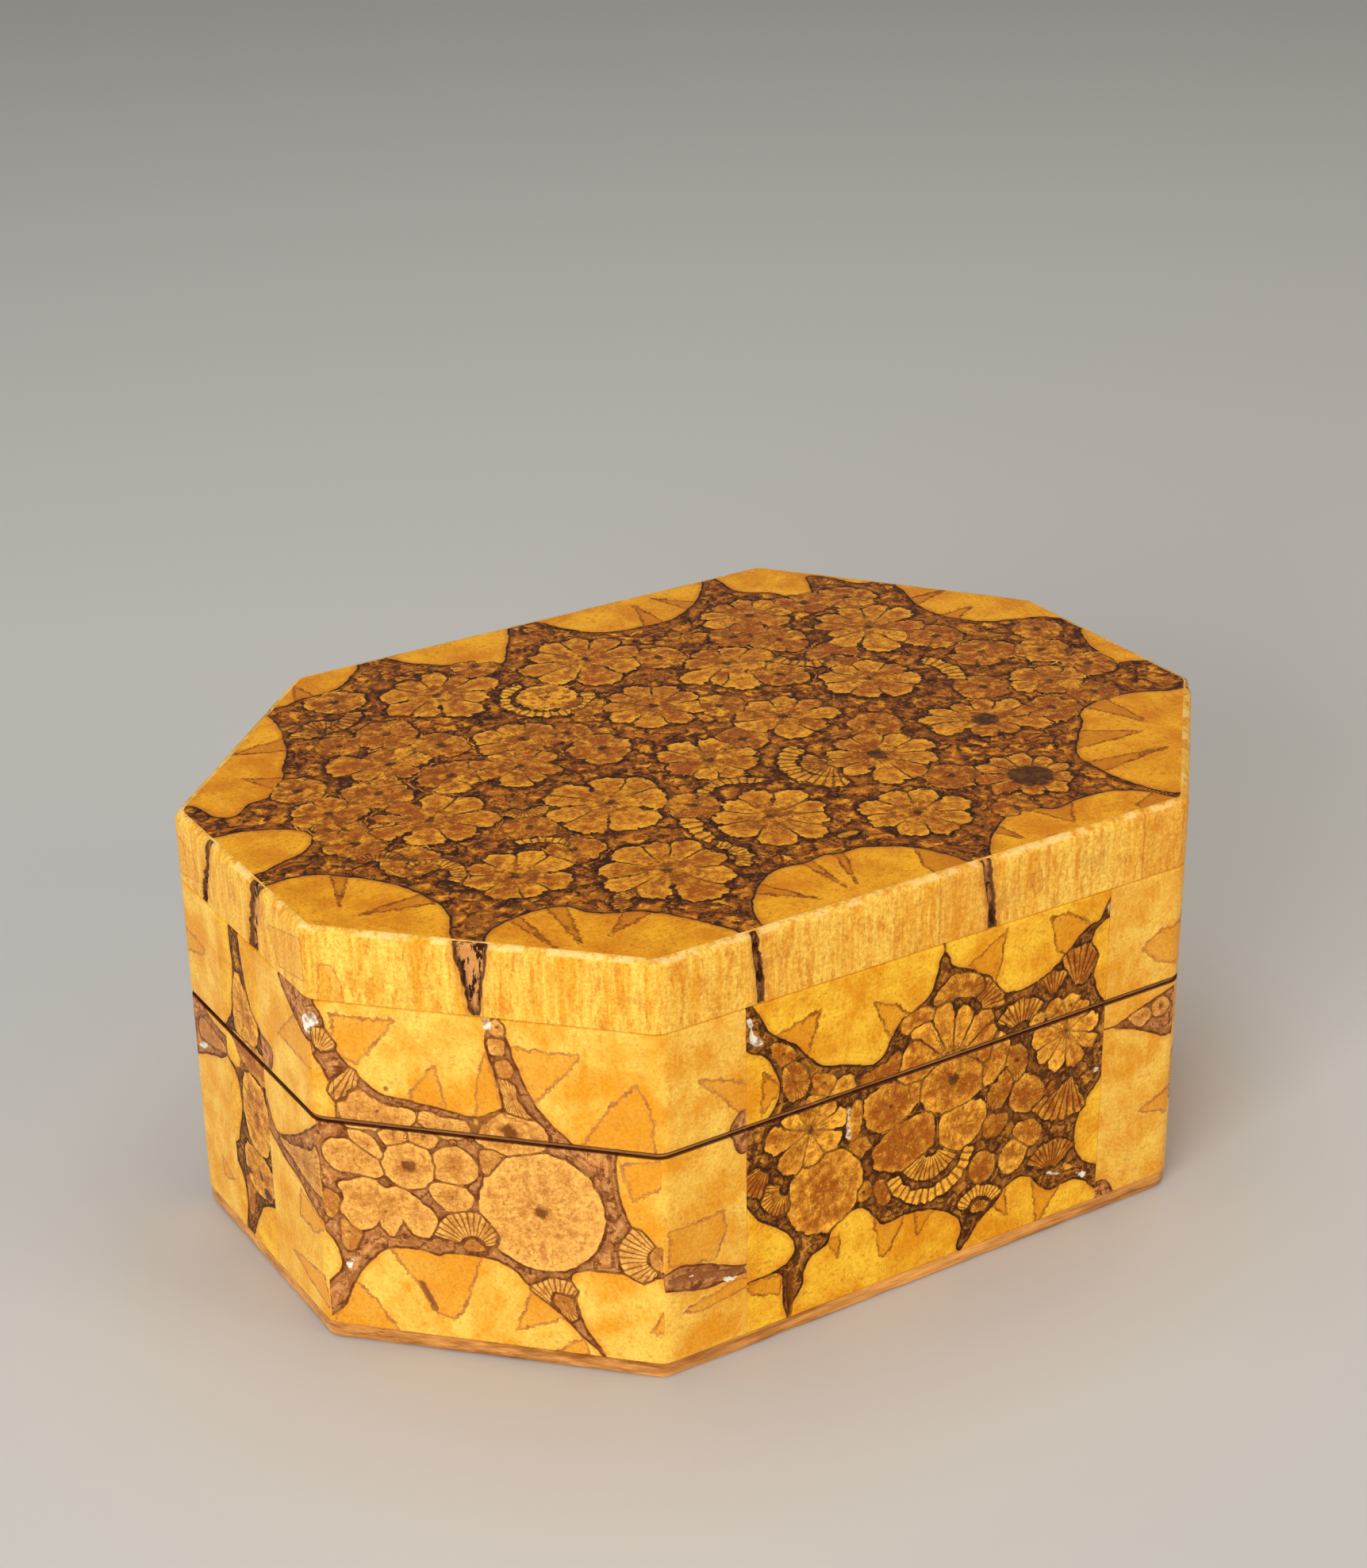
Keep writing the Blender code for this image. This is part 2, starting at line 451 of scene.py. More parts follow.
def front_left_face() -> Figure:
    """The face of the corner slice that shows whole, from its left edge, as (along, up)."""
    return Figure([
        lobe([(1.0, 46), (1.6, 41), (2.4, 38), (4.6, 35), (7.3, 32.6), (10, 32.1), (13.3, 31.6), (16.7, 30.9),
              (18.8, 31.1), (20.9, 32.4), (20.1, 36.8), (19.3, 40), (18.9, 46)], (11, 48),
             [(9.5, 41.5), (5, 35.8), (2.6, 37.2), (2.5, 41.4)],
             [(13.7, 36.6), (11.3, 34), (10.6, 31.6), (14.7, 31.2)],
             [(19.3, 39), (18.2, 35), (17.9, 30), (21.2, 31.5)]),
        lobe([(22, 46), (22.1, 39.8), (23, 36.8), (24.2, 33.8), (26, 31.2), (27.8, 29.6), (30, 27.8),
              (35, 26), (41, 25), (41, 46)], (31, 50),
             [(21.6, 39.9), (29.6, 39.7), (27, 36.2), (25.2, 34.1), (23.9, 33)],
             [(35.5, 36.9), (33.2, 34.6), (31, 31.5), (29.3, 28), (37.4, 28), (37.2, 32.2), (36.8, 34.5)]),
        lobe([(-2, 37), (0.6, 35.6), (1.9, 32.6), (2.3, 29.6), (1.9, 26.5), (-2, 26)], (-3, 32)),
        lobe([(-2, 14.6), (0.6, 13.6), (1.7, 11.5), (1.4, 9), (-2, 6.6)], (-4, 11)),
        disc(20.8, 42, 1.1, 1.0, 0.2, 0.5),
        cell([(19.7, 40.4), (21.2, 40.4), (21.2, 39), (20, 38.8)], 0.5, 0.0),
        cell([(20.4, 37.6), (21.6, 38), (22.2, 36.6), (21, 36)], 0.0),
        cell([(20.6, 35.8), (22.2, 35.4), (22.8, 33.4), (24.2, 31.2), (21.6, 31.6), (20.9, 34)], 0.32, 0.8),
        fan(5.2, 36.4, 1.2, 6.2, 225, 268, 0.42), fan(0.6, 36.6, 0.6, 3.2, 20, 100, 0.4),
        cell([(2.7, 33.4), (4.6, 33.2), (6.4, 31.8), (8.4, 31), (11, 30.7), (11.2, 29.4), (9.6, 28),
              (6, 27.8), (3, 28.2)], 0.5),
        cell([(11.8, 30.6), (14.4, 30.4), (17, 29.8), (17, 28.2), (12, 28)], 0.42, 0.4),
        disc(21.7, 29.1, 4.3, 2.7, 0.5, 0.55), inlaid(disc(21.6, 29.4, 2.1, 1.4, 0.8, 0.45)),
        cell([(17.4, 30.2), (19, 31.2), (20.6, 32), (19.4, 29.6), (18, 28.4)], 0.32),
        cell([(18.2, 26.6), (19.6, 27.2), (20.8, 26.4), (20, 24.6), (19, 23.6), (18.3, 24.6)], 0.45, 0.5),
        cell([(0.4, 24.4), (1.2, 26), (3.2, 26.2), (4.8, 25.2), (6.6, 24), (7.3, 22.7), (6.6, 21.8),
              (4.4, 22.2), (1.8, 22.4)], 0.6),
        cell([(3.6, 27.6), (5.4, 27.2), (6.8, 26), (7.4, 24.4), (6.6, 24.4), (4.4, 26)], 0.5),
        disc(10.2, 23.8, 3.1, 2.9, 0.75, 0.5), disc(8.6, 27.6, 1.6, 1.5, 0.1, 0.5),
        disc(12, 27.8, 1.7, 1.5, 0.1, 0.5),
        cell([(13, 25.6), (14.8, 26.7), (16.8, 26.2), (17.9, 24.6), (17.4, 22.9), (15.4, 22.2), (13.2, 22.6),
              (12.9, 24)], 0.55),
        cell([(12.4, 21.8), (14.2, 22), (16.4, 21.6), (17.2, 20.3), (16.5, 19), (14.8, 18.6), (13, 19.8)],
             0.55),
        cell([(2, 20.6), (2.4, 19), (1.9, 17.6), (2.4, 15.9), (4, 14.8), (5.7, 15.3), (6.5, 16.8), (7, 15.2),
              (8, 14.6), (8.7, 15.8), (9.3, 17), (10.2, 15.2), (11.8, 14.7), (13, 16), (12.9, 17.9),
              (11.6, 19.2), (10, 20.4), (8.6, 21), (7.4, 20.7), (6, 21.4), (4, 21.4)], 0.5),
        disc(24.8, 19.85, 7.0, 7.5, 0.6, 0.5),
        fan(17, 14.3, 1.4, 4.6, 12, 168, 0.45), cell([(15.7, 14), (17, 15.5), (18.4, 14)], 0.1, 0.4),
        fan(38, 15.6, 1.7, 4.8, 112, 250, 0.45), disc(38, 15.6, 1.4, 1.6, 0.3, 0.15),
        fan(26.4, 7.6, 1.2, 4.0, 42, 150, 0.4),
        cell([(24.5, 10.3), (27.8, 10.4), (28.4, 7.8), (27.8, 6.3), (26, 8)], 0.12, 0.8),
        cell([(2.2, 17), (3.2, 15.6), (4.2, 14.2), (3, 12), (2, 13)], 0.35),
        lobe([(1.2, 1), (2, 4.8), (3.7, 8.8), (6, 11.8), (8, 13), (11, 13.2), (13, 12.7), (14.2, 13.2),
              (17.7, 13.2), (20, 12.8), (21.7, 11.8), (23, 10.2), (24.7, 8.5), (26.7, 6.7), (28.3, 4.8),
              (29.4, 1)], (14.5, -4),
             [(2.6, 9), (5.4, 6), (7.3, 3.2), (8.4, 1), (0, 1)],
             [(7.2, 13.6), (8.8, 10.8), (10.6, 8.6), (12.4, 5.2), (14.3, 4.5), (15.5, 6), (16.2, 7.8),
              (17, 10.8), (18.2, 14)],
             [(21.5, 4.1), (23.6, 10.6), (27.4, 6.7)], [(29.2, 4.3), (25.1, 1.7), (29.6, 1)]),
        lobe([(27.9, 11.9), (29.3, 13), (32, 13.2), (36, 13), (41, 12), (41, 0.8), (33, 1), (30.8, 3.4),
              (29.2, 6), (28.3, 9)], (37, 2), [(36.4, 6), (39, 10), (39, 6)]),
        lobe([(33.2, 27.6), (33.5, 23), (34.6, 19.6), (36.5, 17.7), (41, 16.5), (41, 31), (34.4, 30)],
             (42, 22),
             [(33.6, 27), (34.9, 22.6), (39, 25.2), (39, 28)]),
        cell([(0.3, 19.6), (1.7, 19), (2.2, 17.8), (1, 16), (0.2, 17)], 0.2),
    ], [smooth_loop([(12.7, 5.6), (12, 5.2), (11.3, 6.9), (10.5, 9), (11.2, 8.9), (12, 7.2)], 3),
        smooth_loop([(7.8, 33.1), (8.1, 33.5), (8.4, 33.1), (8.1, 32.7)], 3)],
        [np.array([(-1, 42.3), (0.6, 41.4), (1.3, 40.3), (0.6, 39.7), (-1, 39.6)]),
         np.array([(18.9, 43), (20.2, 42.6), (20, 41.8), (19.2, 41.6)]),
         np.array([(2.4, 10.2), (3.3, 11.2), (3.1, 9.9), (2.7, 9.6)])])


def front_left_on_front() -> Figure:
    """The end of the corner slice that shows at the left of the front, from the corner."""
    return Figure([
        lobe([(-2, 46), (12, 46), (12, 32), (9.6, 30.8), (8.4, 29.2), (7.2, 27), (-2, 25)], (3, 47),
             [(4.4, 36.4), (8.8, 35), (10.8, 33.6), (10.8, 30.6), (9.4, 30.9), (7.6, 33), (5.7, 34.8)]),
        lobe([(-2, 31), (6.6, 30), (8.6, 27.8), (9.6, 25.6), (12, 24.4), (12, 11.8), (5, 13.3), (2, 14.2),
              (-2, 14.8)],
             (3, 27), [(0.6, 18.9), (7.5, 19.1), (7.7, 16.5), (6.4, 13.4), (0.6, 14.4)]),
        lobe([(-2, 11), (5, 10), (12, 9.4), (12, 0.8), (-2, 0.8)], (4, -2),
             [(1.8, 8.1), (8.5, 9.7), (11.4, 9.4), (11.4, 8.4), (4, 7.4)]),
    ], [np.array([(3.4, 12.9), (6, 12), (10.8, 10.9), (10.8, 10.4), (5.6, 11.1), (0.4, 12.2), (0.4, 12.8)])],
        [np.array([(2.9, 12.3), (3.7, 12.3), (3.9, 11.9), (3.1, 11.9)]),
         np.array([(7.4, 10.5), (10.6, 10.1), (10.6, 9.8), (8, 10.1)])])


def front_face() -> Figure:
    """The straight front slice, from the box's front left corner."""
    return Figure([
        lobe([(9, 37.8), (11.2, 37.2), (12.9, 36.3), (14.2, 34), (14.7, 31.8), (13.8, 29.5), (12.4, 27.8),
              (9, 25)],
             (8, 33), [(12.6, 34.5), (14.9, 32), (12.4, 29.5)]),
        lobe([(12.3, 46), (12.8, 40.4), (14.3, 38.4), (16.7, 36.7), (18.6, 34.4), (20.5, 32.9), (22.9, 32.2),
              (24.8, 31.5), (26.9, 30.9), (28.3, 31.7), (29, 33.2), (30.5, 35.1), (32.9, 36.3), (34.3, 37.2),
              (35, 38.6), (35.5, 41), (35.8, 46)], (24, 47),
             [(19.9, 39.9), (14.2, 38.6), (16.8, 36), (18.1, 34.4)],
             [(27, 38.6), (29.9, 37.4), (31.4, 35.6), (29, 33.6), (28, 35.8)]),
        lobe([(36.5, 46), (36.9, 41), (38.1, 39.6), (40.5, 38.4), (42.4, 36.7), (43.8, 34.8), (46.9, 34),
              (50, 34.7), (52.9, 36.3), (54.8, 38.2), (56.7, 39.4), (58.1, 40.2), (58.6, 46)], (48, 47),
             [(44.6, 42.1), (39.4, 39.4), (41.4, 37.6), (43, 36), (44, 38.6)],
             [(50.9, 42.1), (51.7, 37.5), (53.3, 36.6), (56.6, 39.6), (53.3, 41.7)]),
        lobe([(57.2, 38.4), (57.5, 32.5), (58.6, 29.6), (60.4, 27.4), (63, 27), (63, 39)], (62, 33)),
        rosette(37.6, 27.6, 1, [(10, 6.8), (44, 7.4), (75, 7.2), (101, 8.2), (130, 8.4), (160, 7.6)],
                gold=0.26, pith=0.3),
        cell([(34.6, 36.2), (36.6, 38.2), (39.4, 38.4), (42, 36.8), (43.2, 34.8), (40.6, 35.2), (38, 36),
              (36, 35.4)], 0.1, 0.4),
        fan(40, 33.4, 1.4, 4.6, -8, 66, 0.3),
        fan(47.3, 28.4, 1.6, 4.4, 40, 148, 0.5),
        disc(51.9, 29.8, 1.1, 1.2, 0.1, 0.55), disc(54.2, 29.9, 1.3, 1.2, 0.1, 0.5),
        disc(49.4, 29.4, 0.9, 0.9, 0.1, 0.4),
        fan(55, 31.4, 0.8, 5.8, 40, 118, 0.0), fan(51.6, 31.3, 0.8, 3.6, 55, 125, 0.05),
        cell([(15.4, 34.6), (17.2, 34), (18.4, 31.6), (17.4, 29.8), (15.6, 30.6)], 0.15, 0.5),
        cell([(13.8, 37.4), (15.6, 36.8), (16.6, 35.2), (15, 34.8)], 0.1),
        cell([(19.3, 31.8), (21.4, 31.4), (22, 29.8), (19.6, 29.6)], 0.12),
        cell([(22, 30.4), (23.8, 30.4), (24.4, 28.6), (21.6, 28.5)], 0.5, 0.4),
        disc(19.2, 28.5, 1.1, 0.9, 0.1, 0.4),
        cell([(25.4, 30), (28.4, 30.4), (30.4, 31.6), (30.4, 28.6), (25.6, 28.6)], 0.12, 0.5),
        cell([(30.6, 35.4), (33, 35.8), (35, 35), (34, 33.8), (31.2, 33.4)], 0.16),
        lobe([(9, 19.4), (10.9, 17.8), (12, 16.3), (14.3, 14.5), (16.3, 12.5), (16.7, 10.8), (15.8, 9.5),
              (14, 8.9), (9, 8.9)], (9, 12), gold=0.9),
        lobe([(9, 8.9), (12, 8.9), (14.9, 8.2), (15.1, 4.5), (15.4, 0.8), (9, 0.8)], (8, 4),
             [(10, 8.7), (15.2, 8.2), (14.6, 5.6), (11, 7)], gold=0.95),
        rosette(18.6, 25.4, 1, [(178, 5.9), (-126, 5.6), (-82, 5.7), (-40, 5), (5, 5), (38, 4.2), (142, 4.4),
                (95, 2.8)], gold=0.5, pith=0.3),
        disc(20.6, 16.8, 5.1, 5.3, 0.0, 0.34), inlaid(disc(20.8, 16.9, 1.9, 2.0, 0.0, 0.2)),
        inlaid(cell([(19.2, 19.2), (18, 17.8), (18, 15.8), (19, 14.6), (18.9, 16), (18.7, 17.8)], 0.66)),
        inlaid(cell([(22.6, 19), (23.7, 17.6), (23.6, 15.8), (22.8, 14.8), (23, 16.2), (23, 17.8)], 0.66)),
        fan(13.4, 23.2, 1.2, 4.4, 190, 265, 0.12), fan(15.4, 19.2, 0.8, 3.2, 150, 300, 0.1),
        cell([(25.9, 26.6), (25.8, 24.5), (27, 22.4), (29.5, 22.2), (32, 23.3), (33.4, 24.6), (33.2, 27.4),
              (28, 27.6)], 0.3),
        disc(37.8, 25.4, 4.7, 4.1, 0.8, 0.34),
        cell([(41.4, 24.4), (42.8, 23.2), (44.4, 24.4), (45.4, 26.4), (45, 29), (42.6, 30), (41.8, 27.6)],
             0.3),
        cell([(27, 20), (27.3, 17.5), (29, 16.6), (31, 15.9), (33.5, 17), (35.4, 18), (35.6, 20.5),
              (34.8, 22.1), (32, 22.4), (29, 21.4)], 0.33),
        cell([(36.2, 20.5), (36.4, 18), (37.8, 16), (39.5, 15.8), (41.5, 17.2), (42.5, 19.3), (42.2, 21.2),
              (39.5, 21.9), (37, 21.6)], 0.33),
        fan(35, 16.9, 4.6, 6.4, 198, 352, 0.6), fan(35, 17.6, 1.2, 4.2, 206, 338, 0.5),
        fan(42, 6.6, 2.0, 3.5, 22, 152, 0.5), fan(42.2, 6.2, 0.2, 1.8, 10, 160, 0.2),
        cell([(40.8, 13.6), (42.3, 14.2), (44, 13), (43.8, 11.2), (42.2, 10.5), (40.9, 11.4)], 0.28, 0.2),
        cell([(45.2, 13.6), (46.8, 14.4), (48.6, 12.8), (47.8, 11), (46, 10.4), (44.9, 11.8)], 0.36, 0.2),
        cell([(46.4, 21), (48, 22.8), (50.2, 21), (51.2, 18.8), (49, 17.6), (46.6, 18.6)], 0.24, 0.3),
        cell([(42.2, 18.3), (44.4, 18.8), (46, 17.6), (44.6, 16), (42.6, 16.2)], 0.12, 0.6),
        cell([(47, 15.8), (49, 16.3), (50.4, 15), (49.8, 13.2), (47.8, 13.8)], 0.34),
        cell([(43.4, 22.4), (45.2, 24.2), (46.2, 22.4), (44.6, 19.8), (43.2, 20.4)], 0.3, 0.5),
        cell([(45.4, 26.6), (47.4, 27), (48.4, 24.6), (47, 22.4), (45.6, 24.4)], 0.3, 0.6),
        rosette(53.8, 26.6, 1, [(176, 5), (214, 5), (250, 5.2), (290, 5.4), (326, 5.2), (0, 4.6), (56, 4),
            (120, 4)], gold=0.5, pith=0.2),
        fan(54.6, 21.4, 1, 6.6, 208, 296, 0.08), fan(52.4, 8.4, 0.6, 4.2, 35, 150, 0.3),
        cell([(50.6, 19.4), (52.6, 20.6), (54.6, 20.2), (53.6, 18.4), (51.4, 17.6)], 0.1, 0.7),
        cell([(24.6, 15.4), (26.4, 16), (26.8, 14.4), (25.4, 13.8)], 0.3, 0.5),
        cell([(27.4, 15.4), (28.8, 15), (29.4, 12.6), (28, 12.8)], 0.15, 0.3),
        cell([(23.8, 21.6), (25.4, 22), (26.4, 20.8), (25, 20)], 0.2, 0.3),
        lobe([(62, 26), (60.6, 24.4), (59.2, 19), (56.8, 15.9), (55.7, 13), (56, 10), (57.5, 7.8),
              (59.6, 6.5), (62, 4)], (64, 14)),
        lobe([(17.4, 0.8), (17.7, 6), (17.9, 7.7), (19, 9.1), (21, 10), (21.9, 12), (24.2, 13.1),
              (26.2, 12.7), (27.5, 11), (28.6, 9.7), (31.4, 9.9), (33.3, 9.7), (36.2, 8.9), (38.6, 7.2),
              (39.6, 5.3), (38.9, 2.9), (38, 0.8)], (28, -3),
             [(27.3, 11.4), (28.1, 5.7), (29, 5.4), (30.5, 7.7), (31.5, 10.4)],
             [(32.8, 10.4), (33.4, 6.7), (36, 9.6)],
             [(20.9, 10.4), (22.4, 7.6), (22.7, 10.4)]),
        lobe([(40.9, 0.8), (41.2, 3.9), (42.9, 5.8), (44.8, 7.2), (45.7, 8.4), (47.6, 9.1), (49.5, 8.5),
              (50.8, 6.9), (52.4, 5.8), (55.7, 6), (58.1, 4.6), (59.5, 0.8)], (50, -3),
             [(49.6, 8.9), (50.5, 1.9), (51.4, 2.4), (53.9, 6.2)], [(43.6, 7), (46.2, 4.5), (45.6, 8.9)]),
        cell([(24.4, 26.6), (25.3, 26), (24.9, 23), (24, 22.6)], 0.5),
    ], [smooth_loop([(15.7, 8), (16.6, 7.6), (16.6, 4.6), (16.2, 1.9), (15.6, 4.6)], 3)],
        [np.array([(10.7, 41.6), (11.3, 41.4), (11.6, 39.4), (12.9, 38.2), (12.1, 37.9), (11, 38.5)]),
         np.array([(51.3, 8.5), (52.6, 8.3), (53.8, 7.5), (52.8, 7.4)]),
         np.array([(55.9, 7), (57.7, 6.2), (57.5, 5.8), (56, 6.5)]),
         np.array([(23.5, 26.6), (24.1, 26.4), (24, 22.6), (23.4, 22.9)]),
         np.array([(58.9, 41.2), (60, 41.6), (60, 40), (59.2, 39.8)]),
         np.array([(57.9, 20.1), (59.4, 20), (59.4, 19.8), (58.3, 19.7)])])


def front_right_on_front() -> Figure:
    """The end of the next corner slice that shows at the right of the front."""
    return Figure([
        lobe([(57, 46), (57, 30), (60.6, 27), (72, 25), (72, 46)], (66, 48),
             [(64.2, 33.9), (67, 35.6), (72, 36.2), (72, 29.8), (67, 31.6)]),
        lobe([(57, 31), (72, 31), (72, 28.3), (68, 27.2), (64, 26), (61, 25), (57, 24.8)], (60, 28)),
        lobe([(57, 24.3), (61.9, 24.2), (65.2, 22.9), (68, 21.4), (72, 19), (72, 0.8), (63.6, 0.8),
              (60.8, 4.2), (57, 6.2)], (66, 6), [(65.2, 12.1), (72, 14.8), (72, 9.8)]),
        cell([(63, 25.4), (65.4, 26), (66.4, 24.8), (64.8, 23.8)], 0.3), disc(67.7, 25.4, 1.4, 1.1, 0.3, 0.4),
    ])


def front_left_on_left() -> Figure:
    """The end of the corner slice that shows at the right of the left side, from the box's back."""
    return Figure([
        lobe([(17, 46), (17, 34.5), (20.2, 32.6), (23, 31.9), (23, 30), (22.4, 26.6), (36, 25), (36, 36.4),
              (32.3, 38), (29.2, 40), (26.4, 42.8), (26, 46)], (24, 47),
             [(29.7, 39.4), (25.2, 35), (36, 34), (36, 36.8)]),
        lobe([(18, 30), (36, 31), (34, 28.2), (30, 25), (27, 23), (25, 22), (23.5, 21.3), (22, 21.5),
              (20.6, 24)], (24, 28)),
        lobe([(18, 20), (24.5, 18.4), (27.7, 17.6), (31, 15.9), (36, 13), (36, 1), (31, 0.8), (17, 0.8),
              (17, 8)],
             (24, 4), [(24.2, 6.7), (32.7, 7.7), (33.6, 3.8), (29.2, 4.8)],
             [(28, 16.6), (34, 14.6), (31, 12.5), (27.3, 12.8)]),
        cell([(23, 20.6), (27, 21.6), (31, 23), (33, 24.4), (34, 19), (31, 18.4), (27, 19.4)], 0.16, 0.4),
    ], [], [np.array([(31.4, 40.2), (35, 42.2), (35, 38.8), (32.6, 38.6)])])


def left_face() -> Figure:
    """The straight left slice, from the box's back."""
    return Figure([
        lobe([(8, 46), (12.8, 44), (13.5, 40), (13.7, 37.7), (12.8, 34.2), (12.3, 31.5), (10.4, 29.2),
              (8, 26)],
             (6, 40)),
        lobe([(16.2, 46), (16.5, 38.8), (17.3, 36.1), (18.8, 33.8), (23, 32.6), (23, 46)], (22, 44)),
        cell([(13.8, 37), (15.4, 37.4), (17.4, 34.6), (19.6, 32.6), (18, 29.4), (13, 29.4), (13, 33)], 0.3),
        cell([(11.6, 28.8), (16, 29.6), (21, 29), (21, 25.6), (17, 25.8), (13, 26.6)], 0.5),
        cell([(10, 28), (12.8, 27.8), (13, 25), (10, 24.8)], 0.9),
        lobe([(13.4, 20), (13.7, 23), (14.8, 24.8), (16.8, 25.3), (18.9, 24.8), (20, 23), (20.1, 18.6),
              (19.4, 16.2), (17.6, 15), (15.6, 15.3), (14, 17)], (16.8, 20), gold=0.55),
        inlaid(disc(16.9, 20.2, 1.5, 1.5, 0.3, 0.4)),
        lobe([(8, 23.4), (10.5, 24.2), (12.6, 22.5), (12.9, 19), (12, 16.5), (11, 14), (9.3, 12.6), (9.8, 11),
              (11.7, 9), (12.1, 6), (11.5, 3), (11, 0.8), (8, 0.8)], (2, 12)),
        lobe([(23, 11), (20.2, 9.7), (16.9, 8), (15, 5.4), (13.7, 3), (13.4, 0.8), (23, 0.8)], (23, 4)),
        cell([(13, 14.6), (17, 15), (20.8, 13.8), (20.4, 11), (16, 9.2), (13, 10.6)], 0.44),
        inlaid(disc(17, 12, 0.6, 0.6, 0.5, 0.0)),
        inlaid(disc(18.4, 10.4, 1.2, 0.7, 0.9, 0.0)), inlaid(disc(13.6, 11.2, 0.7, 0.5, 0.5, 0.0)),
        cell([(12.6, 9.6), (14.4, 8.6), (13.4, 6), (12.8, 5)], 0.2),
    ])


def back_left_on_left() -> Figure:
    """The end of the back corner slice that shows at the left of the left side."""
    return Figure([
        lobe([(-3, 46), (12, 46), (12, 30.8), (9.2, 28), (7, 25), (-3, 25)], (2, 46),
             [(0, 37.2), (6, 36.6), (5, 35.4), (0, 34)]),
        lobe([(-3, 19.5), (0, 20.1), (3.8, 21.8), (7.7, 23.2), (12, 24.4), (12, 11), (11.7, 9), (12.1, 6),
              (11.5, 0.8), (-3, 0.8)], (2, 4), [(5.4, 8.8), (8.8, 7.2), (5.6, 6.2)]),
        cell([(2.6, 26.2), (6, 26), (9.6, 25.6), (9.4, 24.6), (5, 23.8), (2, 23.6)], 0.25),
        cell([(4, 28.1), (10.6, 28.1), (10.4, 27.3), (7, 27.4)], 0.8),
    ], [], [np.array([(1.2, 22.2), (2.8, 23), (4.6, 23), (3.4, 22.2), (1.6, 21.6)])])


